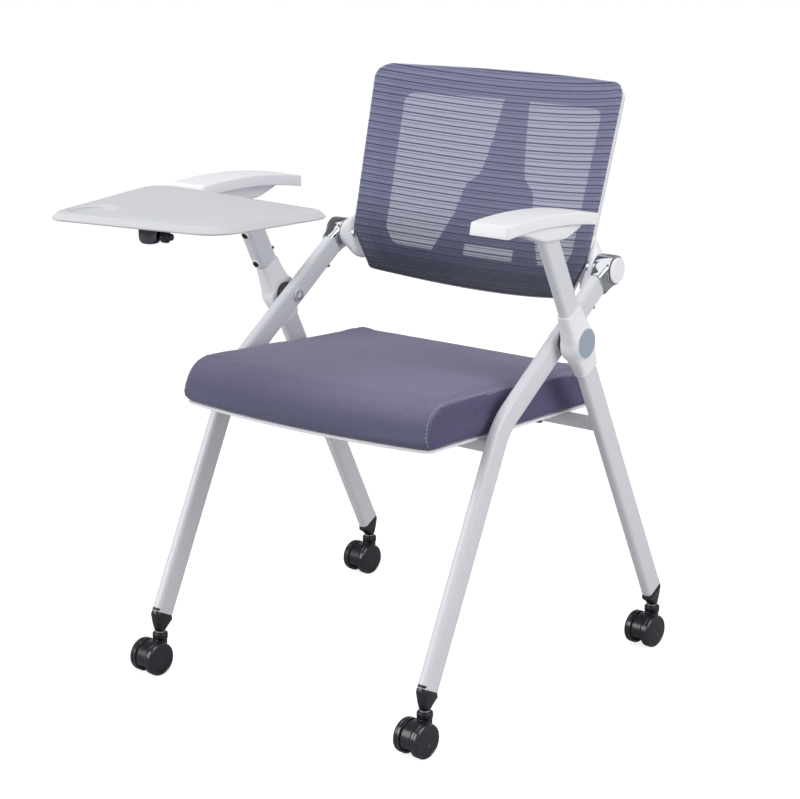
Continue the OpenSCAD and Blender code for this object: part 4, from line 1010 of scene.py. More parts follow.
# %% [markdown]
# ## Writing tablet
# The board is a thin moulding with four unequal corners. Its side slants outward on the way down,
# so a light band shows below the top. The board is a stack of outlines. The cup recess and the
# pen groove are cut from it with turned and rounded cutters, because a boolean keeps their crisp
# stepped rims.

# %% Tablet board
BOARD = np.array([(-260, -164), (0, -120), (27, 74), (-310, 97)], float)
BOARD_MIDDLE, BOARD_RADII = (-135, -20), (20, 48, 18, 28)
CUP_AT = (-228, -110)
GROOVE_FROM, GROOVE_TO, GROOVE_W = np.array((-171, -131)), np.array((-20, -99)), 8


def board_outline(inset):
    """The board's outline, drawn in by the inset."""
    return rounded(BOARD - inset * np.sign(BOARD - BOARD_MIDDLE), BOARD_RADII, 14)


def cut(form, cutters, name):
    """The form's mesh with the cutters taken away."""
    obj = link(name, mesh_of(name, [form]))
    tools = [link(name + "_cutter", mesh_of(name + "_cutter", [cutter])) for cutter in cutters]
    for tool in tools:
        knife = obj.modifiers.new("cut", "BOOLEAN")
        knife.operation, knife.solver, knife.object = "DIFFERENCE", "EXACT", tool
    mesh = baked(obj)
    mesh.name = name
    for tool in tools:
        bpy.data.objects.remove(tool)
    return mesh


top = BOARD_TOP
board = slab(board_outline, [(BOARD_LOW, 3.4), (BOARD_LOW + 0.5, 1.7), (BOARD_LOW + 1.3, 0.6),
                             (BOARD_LOW + 2.2, 0.05), (BOARD_LOW + 3.4, 0.3), (top - 1.6, 4.9),
                             (top - 0.8, 5.6), (top - 0.25, 6.4), (top, 7.6)])
cup = placed(lathe([(1, -5.5), (28.2, -5.5), (29.3, -5.2), (29.9, -4.4), (30, -3.6), (30.1, -2.2),
                    (30.6, -1.7), (33.2, -1.5), (34.2, -1.1), (34.7, -0.4), (34.9, 0.4),
                    (35, 3), (1, 3)], 96), (*CUP_AT, top))
run = GROOVE_TO - GROOVE_FROM
length = np.linalg.norm(run)
along = run / length
groove = placed(slab(lambda inset: oblong(length + GROOVE_W - 2 * inset, GROOVE_W - 2 * inset,
                                          3.9 - inset, 8),
                     [(-3, 2.2), (-2.8, 1.3), (-2.2, 0.6), (-1.2, 0.2), (-0.4, 0), (0, -0.4),
                      (2, -0.4)]),
                (*(GROOVE_FROM + run / 2), top),
                np.array([(*along, 0), (-along[1], along[0], 0), (0, 0, 1)]))
mesh = cut(board, [cup, groove], "writing_board")
smooth(mesh, 24)
dress(link("writing_board", mesh), tablet_abs, "tablet", "tablet_plastic", "tablet_board")
plate = slab(lambda inset: oblong(64 - 2 * inset, 64 - 2 * inset, 12 - inset, 8),
             round_over(BOARD_LOW - 3, BOARD_LOW, 0.7, 0.3, 3))
spigot = lathe([(1, HOUSING_LOW + 5), (8, HOUSING_LOW + 5), (8, BOARD_LOW - 1), (1, BOARD_LOW - 1)],
               36)
make("turning_plate", [placed(plate, (SWIVEL.x, SWIVEL.y, 0)),
                       placed(spigot, (SWIVEL.x, SWIVEL.y, 0))], zinc, "tablet", "zinc_steel",
     "tablet_plate")
PLATE_SCREW = 22
spots = [(SWIVEL.x + PLATE_SCREW * a, SWIVEL.y + PLATE_SCREW * b, BOARD_LOW - 3)
         for a in (-1, 1) for b in (-1, 1)]
repeat("plate_screw_heads", spots, [TURNED] * 4, socket_head(4, 2), black_oxide, "tablet",
       "black_steel", "tablet_screws")
print("writing board has", len(mesh.polygons), "faces")

# %% [markdown]
# ## Seat
# A white shell with a lip carries the cushion. The cushion's top rolls over the front edge in one
# full curve, and flat panels close its sides. It starts as that profile carried across the chair, a
# little smaller than the cover, and a cloth simulation with light air pressure fills it, so the
# panels swell between their seams. Drawing every dent by hand would take longer and look stiffer.
# The stitches come after it, because remeshing would erase them.

# %% Seat places
TILT = math.radians(2.5)
SEAT_AXES = np.array([(1, 0, 0), (0, math.cos(TILT), -math.sin(TILT)),
                      (0, math.sin(TILT), math.cos(TILT))])
SEAT_AT = (0, *SEAT_AXIS)
SEAT_W, SEAT_FRONT, SEAT_REAR, SEAT_BOW, REAR_DROP = 430, 356, 70, 1000, 8
PAN_LOW, PAN_TOP, CUSHION_H, SEAT_CORNER = 10.5, 14.5, 60, 13


def stretched(outline, steps, parts):
    """An outline of rounded corners with as many points on every straight side."""
    corners = outline.reshape(-1, steps + 1, 2)
    points = []
    for here, after in zip(corners, np.roll(corners, -1, axis=0)):
        points += [*here] + [here[-1] + (after[0] - here[-1]) * k / parts for k in range(1, parts)]
    return np.array(points)


def seat_outline(inset):
    """The seat's outline around its axis, with the bow of the front edge."""
    w, d = SEAT_W - 2 * inset, SEAT_FRONT + SEAT_REAR - 2 * inset
    flat = stretched(oblong(w, d, SEAT_CORNER, 6), 6, 24) + (0, (SEAT_REAR - SEAT_FRONT) / 2)
    flat[:, 1] += flat[:, 0] ** 2 / (2 * SEAT_BOW) * np.clip(-flat[:, 1] / SEAT_FRONT, 0, 1)
    return flat


def on_seat(form):
    """A form from the seat's own axes to the chair's."""
    return placed(form, SEAT_AT, SEAT_AXES)


def to_seat(points):
    """Points in the frame's metres in the seat's own axes, in millimetres."""
    return (np.array(points) - np.array(at(*SEAT_AT))) @ SEAT_AXES.T / MM


pan = slab(seat_outline, [(PAN_LOW, 6.4), (PAN_LOW + 0.3, 4.4), (PAN_LOW + 0.8, 3.4),
                          (PAN_LOW + 1.7, 3.1), (PAN_LOW + 2, 3.9), (PAN_LOW + 2.5, 3.9),
                          (PAN_LOW + 2.8, 3.2), (PAN_TOP - 0.1, 3.2), (PAN_TOP + 0.3, 4)])
make("seat_shell", [on_seat(pan)], moulded, "seat", "white_plastic", "seat_pan")
under_seat = np.array([(x, y, PAN_LOW - 3) for x in (-150, 150) for y in (-30, 30)])
repeat("seat_screw_heads", under_seat @ SEAT_AXES + SEAT_AT, [TURNED @ SEAT_AXES] * 4,
       socket_head(5.5, 2.4), zinc, "seat", "zinc_steel", "seat_screws")
print("seat shell", SEAT_W, "mm wide")


# %% Upholstery fabrics
# Threads are drawn about 1 by 4 mm, coarser than the real half millimetre, so that they show.
# Painted shade: the darker colour that the front roll takes where it faces forward.
FRONT_SHADE_COLOUR = "#55566f"


def woven(name, colour, dark, sheen):
    """A fine weave: short threads both ways, a soft sheen, and painted shade, darker, on the front
    roll.
    """
    material, tree = blank(name)
    where = add(tree, "ShaderNodeTexCoord").outputs["Object"]
    threads = []
    for stretch in ((900, 220, 500), (220, 900, 500)):
        along = add(tree, "ShaderNodeMapping", [("Vector", where), ("Scale", stretch)])
        threads.append(add(tree, "ShaderNodeTexNoise", [
            ("Vector", along), ("Scale", 1), ("Detail", 1)]))
    weave = add(tree, "ShaderNodeMath", enumerate(threads), operation="ADD")
    cloud = add(tree, "ShaderNodeTexNoise", [("Vector", where), ("Scale", 9), ("Detail", 3)])
    tone = add(tree, "ShaderNodeMapRange", [("Value", weave), ("From Min", 0.75),
                                            ("From Max", 1.25)])
    clouded = add(tree, "ShaderNodeMath", [(0, tone), (1, cloud)], operation="ADD")
    share = add(tree, "ShaderNodeMath", [(0, clouded), (1, 0.5)], operation="MULTIPLY")
    mixed = add(tree, "ShaderNodeMix", [(0, share), (6, linear(dark)), (7, linear(colour))],
                data_type="RGBA")
    # Painted shade on the front roll, as much as the mesh's attribute asks for.
    front_shade = add(tree, "ShaderNodeAttribute", attribute_name="front_shade")
    front_shaded = add(tree, "ShaderNodeMix", [(0, front_shade.outputs["Fac"]), (6, mixed.outputs[2]),
                                         (7, linear(FRONT_SHADE_COLOUR))], data_type="RGBA")
    bump = add(tree, "ShaderNodeBump", [("Height", weave), ("Strength", 0.9),
                                        ("Distance", 0.3 * MM)])
    shader = add(tree, "ShaderNodeBsdfPrincipled", [
        ("Base Color", front_shaded.outputs[2]), ("Roughness", 0.85), ("Sheen Weight", sheen),
        ("Sheen Roughness", 0.4), ("Sheen Tint", linear("#c9c6da")), ("Normal", bump)])
    add(tree, "ShaderNodeOutputMaterial", [("Surface", shader)])
    return material


cover_cloth = woven("polyester_seat_cloth", "#807b95", "#68647e", 0.25)
# Painted shade: a darker copy of the seat cloth, for the side panels.
side_shade_cloth = woven("polyester_cloth_painted_side_shade", "#5f5979", "#4c4767", 0.14)
thread_pale = finish("pale_sewing_thread", "#a9a6b8", 0.7)
print("fabrics:", cover_cloth.name, side_shade_cloth.name)


# %% [markdown]
# ## Cushion
# The cushion's cover is one cloth: pale over the top, with painted shade that darkens the front
# roll where it faces forward, and a darker copy of the cloth on the side panels, which is painted
# shade too.
# Its start is a stack of side views, remeshed into even squares, because cloth bends evenly only on
# an even mesh. Air pressure pushes it out and the lowest rows stay fixed, as the staples under a
# real seat hold its cover. A cap on the way each point moves keeps its size.

# %% Cushion's profile
OVERHANG, BROW_R, CHIN_R = 3.5, 44, 13
# The start lies this far inside the finished cover, the filling moves no point further than the
# reach, and the cover stays fixed up to this height above the shell.
SLACK, REACH, FIXED_H = 0.6, 3, 4
FILL_FRAMES = 20
EVEN_MESH = 5


def cushion_section(x, inset):
    """The side view of the cushion at x: a full roll at the front and a sloping rear."""
    low, high = PAN_TOP + inset, PAN_TOP + CUSHION_H - inset
    front = x * x / (2 * SEAT_BOW) - SEAT_FRONT - OVERHANG + inset
    rear, brow, chin = SEAT_REAR - inset, BROW_R - inset, max(CHIN_R - inset, 4)
    points = [(front + brow - brow * math.sin(t), high - brow + brow * math.cos(t))
              for t in np.linspace(0, math.pi / 2, 11)]
    points += [(front + chin - chin * math.cos(t), low + chin - chin * math.sin(t))
               for t in np.linspace(0, math.pi / 2, 9)]
    points += [(rear - 3, low), (rear, low + 4), (rear - 1, low + CUSHION_H / 2),
               (rear - 6, high - REAR_DROP - 4), (rear - 10, high - REAR_DROP - 0.8)]
    start = rear - 10
    for t in np.linspace(0, 1, 12)[1:-1]:
        drop = REAR_DROP * (1 - t) ** 1.6 + 2.2 * math.sin(math.pi * min(1, t * 1.6))
        points.append((start + (front + brow - start) * t, high - drop))
    return np.array([(x, y, z) for y, z in points])


print("profile has", len(cushion_section(0, 0)), "points")


# %% Seat cushion
def filled(obj):
    """The cushion after light air pressure on its cover, as a cloth simulation shows it."""
    rest = np.array([v.co for v in obj.data.vertices])
    pinned = obj.vertex_groups.new(name="pinned")
    low = to_seat(rest)[:, 2] < PAN_TOP + FIXED_H
    pinned.add([int(i) for i in np.nonzero(low)[0]], 1, "REPLACE")
    cloth = obj.modifiers.new("fill", "CLOTH")
    cloth.settings.effector_weights.gravity = 0
    cloth.settings.use_pressure, cloth.settings.uniform_pressure_force = True, 4
    cloth.settings.tension_stiffness = cloth.settings.compression_stiffness = 40
    cloth.settings.vertex_group_mass = "pinned"
    for frame_number in range(1, FILL_FRAMES + 1):
        bpy.context.scene.frame_set(frame_number)
    mesh = baked(obj)
    step = np.array([v.co for v in mesh.vertices]) - rest
    length = np.linalg.norm(step, axis=1, keepdims=True)
    moved = rest + step * np.minimum(1, REACH * MM / np.maximum(length, 1e-9))
    mesh.vertices.foreach_set("co", moved.ravel())
    bpy.context.scene.frame_set(1)
    return link("seat_pad", mesh)


half = SEAT_W / 2 - SLACK
sections = [(half + 1.5, 8), (half + 0.6, 4.6), (half - 0.8, 2.2), (half - 3.4, 0.6), (half - 7, 0)]
sections += [(x, 0) for x in (170, 120, 60, 0)]
sections = [(-x, e) for x, e in sections] + [(x, e) for x, e in sections[-2::-1]]
start = link("cushion_start", mesh_of("cushion_start", [on_seat(skin(
    [cushion_section(x, SLACK + inset) for x, inset in sections]))]))
remesh = start.modifiers.new("even", "REMESH")
remesh.mode, remesh.voxel_size = "VOXEL", EVEN_MESH * MM
cushion = link("seat_pad", baked(start))
cushion = filled(cushion)
finer = cushion.modifiers.new("finer", "SUBSURF")
finer.levels = finer.render_levels = 1
mesh = baked(cushion)
mesh.name = "seat_pad"
smooth(mesh, 60)
cushion = dress(link("seat_pad", mesh), cover_cloth, "seat", "seat_fabric", "seat_cushion")
mesh.materials.append(side_shade_cloth)
# Painted shade: the faces near the sides that face outwards take the darker, shaded copy of the
# cloth.
out = np.abs(to_seat([p.center for p in mesh.polygons])[:, 0]) > half - 5
mesh.polygons.foreach_set("material_index", [
    int(outer and abs(p.normal.x) > 0.72) for outer, p in zip(out, mesh.polygons)])
# Painted shade: full where the roll faces forward, and none on cloth that lies level.
normals = np.array([v.normal for v in mesh.vertices])
faces_front = np.clip((-normals[:, 1] - 0.18) * 2.4, 0, 1)
faces_level = np.clip(1.6 - normals[:, 2] * 1.6, 0, 1)
front_shade = mesh.attributes.new("front_shade", "FLOAT", "POINT")
front_shade.data.foreach_set("value", 0.75 * faces_front * faces_level)
print("cushion has", len(mesh.polygons), "faces")

# %% [markdown]
# ## Stitches
# A pale seam runs along each top side edge and down the roll. Its path is only a guess a little
# outside the cover, and the nearest point of the cover gives each stitch its place and its way up,
# as a sewing machine follows the cloth. They come after the filling, so they lie on the final skin.

# %% Stitches along the top side edges and down the front roll
surface = BVHTree.FromPolygons([v.co for v in mesh.vertices],
                               [tuple(p.vertices) for p in mesh.polygons])


SEAM_IN, STITCH_PITCH = 5.5, 6.2


def seam_path(side):
    """Guess points of a seam in the seat's own axes: along the top edge, then down the roll."""
    x = side * (half - SEAM_IN)
    radius = CUSHION_H / 2
    front = x * x / (2 * SEAT_BOW) - SEAT_FRONT - 3 + radius
    top = [(x, y, PAN_TOP + CUSHION_H + 2) for y in np.linspace(SEAT_REAR - 20, front, 100)]
    roll = [(x, front + (radius + 2) * math.cos(t), PAN_TOP + radius + (radius + 2) * math.sin(t))
            for t in np.linspace(math.pi / 2, 3 * math.pi / 2 - 0.3, 26)]
    return np.array(top + roll[1:])


def even_steps(points, pitch):
    """Points a pitch apart along a path."""
    runs = np.concatenate([[0], np.cumsum(np.linalg.norm(np.diff(points, axis=0), axis=1))])
    marks = np.arange(pitch / 2, runs[-1], pitch)
    return np.column_stack([np.interp(marks, runs, points[:, k]) for k in range(3)])


stitch_spots, stitch_axes = [], []
for side in (-1, 1):
    marks = even_steps(seam_path(side), STITCH_PITCH) @ SEAT_AXES + SEAT_AT
    found = [surface.find_nearest(at(*mark)) for mark in marks]
    places = [np.array(in_chair(spot)) for spot, *_ in found]
    for i, (_, normal, *_) in enumerate(found):
        ahead = places[min(i + 1, len(places) - 1)] - places[max(i - 1, 0)]
        ahead /= np.linalg.norm(ahead)
        up = np.array(normal) - ahead * (np.array(normal) @ ahead)
        up /= np.linalg.norm(up)
        stitch_spots.append(places[i] + up * 0.15)
        stitch_axes.append(np.array([np.cross(up, ahead), up, ahead]))
stitch = lathe([(0.12, -2), (0.42, -1.8), (0.55, -1.1), (0.55, 1.1), (0.42, 1.8), (0.12, 2)], 8)
repeat("seat_stitches", stitch_spots, stitch_axes, stitch, thread_pale, "seat", "seat_fabric")
print("stitches:", len(stitch_spots))

# %% [markdown]
# ## Backrest
# The backrest is curved in plan, so one function bends every flat piece onto the same curve. A
# white rim frame runs round it and swells into an ear at each joint. An inner frame, coloured dark
# as painted shade, and a perforated spine lie just behind the mesh, and show through it. The mesh
# is one thin sheet, held taut. Its stripes are rows of thick, thin and open threads at real sizes,
# drawn by height up the back. A second strip wraps its edge around the rim.

# %% Backrest places
LEAN = math.radians(17.8)
BACK_AXES = np.array([(1, 0, 0), (0, math.cos(LEAN), -math.sin(LEAN)),
                      (0, math.sin(LEAN), math.cos(LEAN))])
BACK_AT = (0, *BACK_JOINT)
TOP_X, LOW_X, BACK_UP, BACK_DOWN, BACK_CUT = 216, 206, 256, 45, 30
TOP_BOW, LOW_BOW, SAG = 16, 9, 60
SIDE_X = (TOP_X + LOW_X) / 2
CURVE_R = (SIDE_X ** 2 + SAG ** 2) / (2 * SAG)
MESH_Y, INNER_Y, RIM_Y, RIM_H, RIM_BAND, INNER_BAND = -13.5, -11.9, -6.4, 15, 18, 22
WINDOW_IN = RIM_BAND + INNER_BAND
LOW_EDGE = -10
BACK_STEPS, BACK_PARTS = 7, 12


print("backrest curve has a radius of", round(CURVE_R), "mm")


# %% Backrest outlines
def shrunk(corners, inset):
    """A convex polygon with every side moved inwards."""
    corners = np.asarray(corners, float)
    sides = np.roll(corners, -1, axis=0) - corners
    inward = np.column_stack([-sides[:, 1], sides[:, 0]]) / np.linalg.norm(sides, axis=1)[:, None]
    moved = corners + inward * inset
    result = []
    for i in range(len(corners)):
        a, b = sides[i - 1], sides[i]
        t = np.linalg.solve(np.column_stack([a, -b]), moved[i] - moved[i - 1])[0]
        result.append(moved[i - 1] + a * t)
    return np.array(result)


def bowed(outline):
    """Raises the top edge and lowers the bottom edge in the middle."""
    x, up = outline[:, 0], outline[:, 1]
    share = np.where(up > 0, TOP_BOW * up / BACK_UP, LOW_BOW * up / BACK_DOWN)
    return np.column_stack([x, up + (1 - (x / TOP_X) ** 2) * share])


BACK_CORNERS = [(-(LOW_X - BACK_CUT), -BACK_DOWN), (LOW_X - BACK_CUT, -BACK_DOWN),
                (LOW_X, 1.65 * BACK_CUT - BACK_DOWN), (TOP_X, BACK_UP), (-TOP_X, BACK_UP),
                (-LOW_X, 1.65 * BACK_CUT - BACK_DOWN)]


def back_outline(inset):
    """The backrest's outline, flat, drawn in by the inset."""
    radii = [max(r - inset, 5 + inset / 4) for r in (8, 8, 30, 22, 22, 30)]
    return bowed(stretched(rounded(shrunk(BACK_CORNERS, inset), radii, BACK_STEPS), BACK_STEPS,
                           BACK_PARTS))


def window(inset):
    """The inner frame's opening: the outline, cut off level above the low band."""
    edge = back_outline(inset)
    edge[:, 1] = np.maximum(edge[:, 1], LOW_EDGE + inset - WINDOW_IN)
    return edge


def curved(points):
    """Bends (x, depth, up) points onto the backrest's curve."""
    x, depth, up = np.asarray(points, float).T
    return np.column_stack([x, SAG - CURVE_R + np.sqrt((CURVE_R + depth) ** 2 - x ** 2), up])


def on_back(form):
    """A flat form bent onto the backrest's curve and leant back with it."""
    return placed((curved(form[0]), form[1]), BACK_AT, BACK_AXES)


def around(section):
    """A closed band round the backrest, from its section's (inset, depth) points.

    A third value stands for an outline of its own.
    """
    rings = []
    for inset, depth, *own in section:
        edge = (own[0] if own else back_outline)(inset)
        rings.append(np.column_stack([edge[:, 0], np.full(len(edge), depth), edge[:, 1]]))
    return skin(rings, True)


print("backrest outline has", len(back_outline(0)), "points")

# %% Rim frame with its ears
RIM_BACK = RIM_Y + RIM_H
rim_frame = on_back(around([
    (1.4, MESH_Y + 1.6), (5, MESH_Y + 1.6), (6, MESH_Y + 3), (7, RIM_Y), (20.5, RIM_Y),
    (22, RIM_Y + 1.5), (22, RIM_BACK - 3), (20, RIM_BACK - 0.6), (17, RIM_BACK), (13, RIM_BACK),
    (9.6, RIM_BACK - 1.4), (6.6, RIM_BACK - 4.6), (4, RIM_BACK - 9), (1.6, RIM_Y - 1),
    (0.3, MESH_Y + 4)]))


def ear():
    """The swelling at a joint: round at its outer face, and longer up and down on its way in."""
    rings = []
    turns = np.linspace(0, 2 * math.pi, 48, endpoint=False)
    c, s = np.cos(turns), np.sin(turns)
    for x, depth, deep, up, tall, power in (
            (223.6, 0, 19.6, 0, 19.6, 1), (222.4, 0, 20.8, 0, 20.8, 1),
            (219, 0.2, 19.6, 0.5, 22.5, 1), (215, 1, 15.6, 1.5, 27, 0.95),
            (210, 2.6, 11.6, 3, 33, 0.85), (204, 5.4, 8.6, 4, 38, 0.75),
            (197, 9.6, 6.6, 4, 39, 0.65), (190, 13, 5, 4, 37, 0.6)):
        rings.append(np.column_stack([
            np.full(len(turns), x), depth + deep * np.sign(c) * np.abs(c) ** power,
            up + tall * np.sign(s) * np.abs(s) ** power]))
    return placed(skin(rings), BACK_AT, BACK_AXES)


rim_mesh = fused("back_rim", [rim_frame, *both(ear())], voxel=1.6, rounds=4)
dress(link("back_rim", rim_mesh), moulded, "backrest", "white_plastic", "back_frame")
print("rim frame has", len(rim_mesh.polygons), "faces")

# %% Inner frame
inner_frame = around([
    (RIM_BAND + 1, RIM_Y - 0.2), (RIM_BAND, RIM_Y - 1), (RIM_BAND, INNER_Y + 1),
    (RIM_BAND + 1, INNER_Y), (WINDOW_IN - 1, INNER_Y, window), (WINDOW_IN, INNER_Y + 1, window),
    (WINDOW_IN, RIM_Y - 1, window), (WINDOW_IN - 1, RIM_Y - 0.2, window)])
# Painted shade: the inner frame is coloured dark for the shadow behind the mesh.
make("inner_frame", [on_back(inner_frame)], shade_slate_nylon, "backrest", "dark_plastic",
     "back_inner_frame")
print("window starts", WINDOW_IN, "mm inside the edge")

# %% [markdown]
# ## Spine
# A moulded spine stands behind the mesh, wide over the lumbar area and narrow above, with rows of
# small holes. It is a few thin curved plates. Its holes are hundreds, seen only through the mesh,
# so they are see-through spots of its material rather than geometry. They are drawn by millimetres
# on the flattened back, which every vertex carries as its own attribute.

# %% Thin plates from grids
# Half the spine's width at each height above the joint.
SPINE = [(97, LOW_EDGE - 3), (95, LOW_EDGE), (80, 24), (68, 54), (61, 88), (57, 99), (40, 114),
         (34, 132), (27, 174), (21, 226), (20, 240)]
SPINE_GAP_X, SPINE_GAP_TOP = 45, 12
SPINE_FRONT, SPINE_BACK = INNER_Y + 1.2, RIM_Y + 0.6


def strip_between(outer, inner, low, high, rows, columns):
    """A plate of the spine between x = inner(up) and x = outer(up), as a closed grid."""
    sides = []
    for depth in (SPINE_FRONT, SPINE_BACK):
        grid = [[(inner(up) + (outer(up) - inner(up)) * k / (columns - 1), depth, up)
                 for k in range(columns)] for up in np.linspace(low, high, rows)]
        sides.append(np.array(grid))
    return grid_plate(*sides)


def grid_plate(front, back):
    """A closed thin plate from two grids of points, front and back."""
    rows, columns, _ = front.shape
    count = rows * columns
    ids = np.arange(count).reshape(rows, columns)
    faces = []
    for r in range(rows - 1):
        for c in range(columns - 1):
            a, b, d, e = ids[r, c], ids[r, c + 1], ids[r + 1, c + 1], ids[r + 1, c]
            faces += [(a, b, d, e), (a + count, e + count, d + count, b + count)]
    rim = [*ids[0], *ids[1:, -1], *ids[-1, -2::-1], *ids[-2:0:-1, 0]]
    faces += [(p, p + count, q + count, q) for p, q in zip(rim, rim[1:] + rim[:1])]
    return np.vstack([front.reshape(-1, 3), back.reshape(-1, 3)]), [
        tuple(int(i) for i in face) for face in faces]


def spine_edge(up):
    """Half the spine's width at a height."""
    return np.interp(up, [p[1] for p in SPINE], [p[0] for p in SPINE])


print("spine is", 2 * spine_edge(0), "mm wide beside the joint")

# %% Spine plates
plates = [strip_between(spine_edge, lambda up: -spine_edge(up), SPINE_GAP_TOP, SPINE[-1][1], 58,
                        15)]
for side in (-1, 1):
    plates.append(strip_between(lambda up: side * spine_edge(up), lambda up: side * SPINE_GAP_X,
                                LOW_EDGE - 3, SPINE_GAP_TOP + 0.5, 6, 6))
print("spine plates:", len(plates))


# %% Places on the flattened back
def back_layer(obj):
    """Gives every vertex its place on the flattened backrest, in millimetres."""
    co = np.array([v.co for v in obj.data.vertices])
    flat = (co - np.array(at(*BACK_AT))) @ BACK_AXES.T / MM
    place = np.column_stack([CURVE_R * np.arcsin(np.clip(flat[:, 0] / CURVE_R, -1, 1)),
                             flat[:, 2], flat[:, 1]])
    layer = obj.data.attributes.new("place", "FLOAT_VECTOR", "POINT")
    layer.data.foreach_set("vector", place.ravel())


def back_place(tree):
    """Sockets for the place across and up the flattened backrest, in millimetres."""
    spot = add(tree, "ShaderNodeAttribute", attribute_name="place")
    split = add(tree, "ShaderNodeSeparateXYZ", [(0, spot.outputs["Vector"])])
    return split.outputs[0], split.outputs[1]


print("the flattened back is", round(2 * CURVE_R * math.asin(TOP_X / CURVE_R)), "mm wide")

# %% Perforated nylon
# Holes of 3 mm stand 8 mm apart in rows 7 mm apart, every other row moved by half a step.
HOLE_R, HOLE_ROW, HOLE_HALF_STEP, HOLES_FROM, HOLES_TO = 1.5, 7, 4, 45, 226


def perforated(name, colour):
    """Dark nylon with rows of small round holes between the lumbar plate and the top."""
    material, tree = blank(name)
    across_back, up_back = back_place(tree)
    row = add(tree, "ShaderNodeMath", [(0, up_back), (1, HOLE_ROW)], operation="DIVIDE")
    count = add(tree, "ShaderNodeMath", [(0, row)], operation="FLOOR")
    odd = add(tree, "ShaderNodeMath", [(0, count), (1, 2)], operation="MODULO")
    shifted = add(tree, "ShaderNodeMath", [(0, odd), (1, HOLE_HALF_STEP), (2, across_back)],
                  operation="MULTIPLY_ADD")
    aside = add(tree, "ShaderNodeMath", [(0, shifted), (1, HOLE_HALF_STEP)], operation="PINGPONG")
    share = add(tree, "ShaderNodeMath", [(0, row)], operation="FRACT")
    above = add(tree, "ShaderNodeMath", [(0, share), (1, HOLE_ROW), (2, -HOLE_ROW / 2)],
                operation="MULTIPLY_ADD")
    from_hole = add(tree, "ShaderNodeCombineXYZ", [(0, aside), (1, above)])
    span = add(tree, "ShaderNodeVectorMath", [(0, from_hole)], operation="LENGTH")
    hole = add(tree, "ShaderNodeMath", [(0, span.outputs["Value"]), (1, HOLE_R)],
               operation="LESS_THAN")
    for end, way in ((HOLES_FROM, "GREATER_THAN"), (HOLES_TO, "LESS_THAN")):
        inside = add(tree, "ShaderNodeMath", [(0, up_back), (1, end)], operation=way)
        hole = add(tree, "ShaderNodeMath", [(0, hole), (1, inside)], operation="MULTIPLY")
    shader = add(tree, "ShaderNodeBsdfPrincipled", [
        ("Base Color", linear(colour)), ("Roughness", 0.55), ("IOR", 1.53)])
    clear = add(tree, "ShaderNodeBsdfTransparent")
    mix = add(tree, "ShaderNodeMixShader", [(0, hole), (1, shader), (2, clear)])
    add(tree, "ShaderNodeOutputMaterial", [("Surface", mix)])
    return material


spine_nylon = perforated("perforated_nylon", "#565869")
spine = make("perforated_spine", [on_back(plate) for plate in plates], spine_nylon, "backrest",
             "dark_plastic", "back_spine")
back_layer(spine)
print("spine runs from", LOW_EDGE, "to", SPINE[-1][1], "mm above the joint")


# %% [markdown]
# ## Mesh
# The mesh is knitted polyester stretched over the rim: dark cords across the back, and open net
# between them. Real threads would need millions of faces, so the sheet is thin and whole, and its
# material mixes in a clear shader where the net is open. The spine and the inner frame then show
# through as they should.

# %% Striped mesh
# One repeat of the mesh up the back, as (share, thread colour, cover). A thick row is dark and
# dense, a thin one is lighter, and the open net between them lets most light through.
THREAD_ROW, UPRIGHT_PITCH = 11.2, 1.9
THICK, NET, THIN = ("#4c4d69", 0.84), ("#9496b8", 0.56), ("#666884", 0.72)
THREADS = ((0, *THICK), (0.13, *THICK), (0.19, *NET), (0.6, *NET), (0.65, *THIN), (0.72, *THIN),
           (0.78, *NET), (0.95, *NET), (1, *THICK))


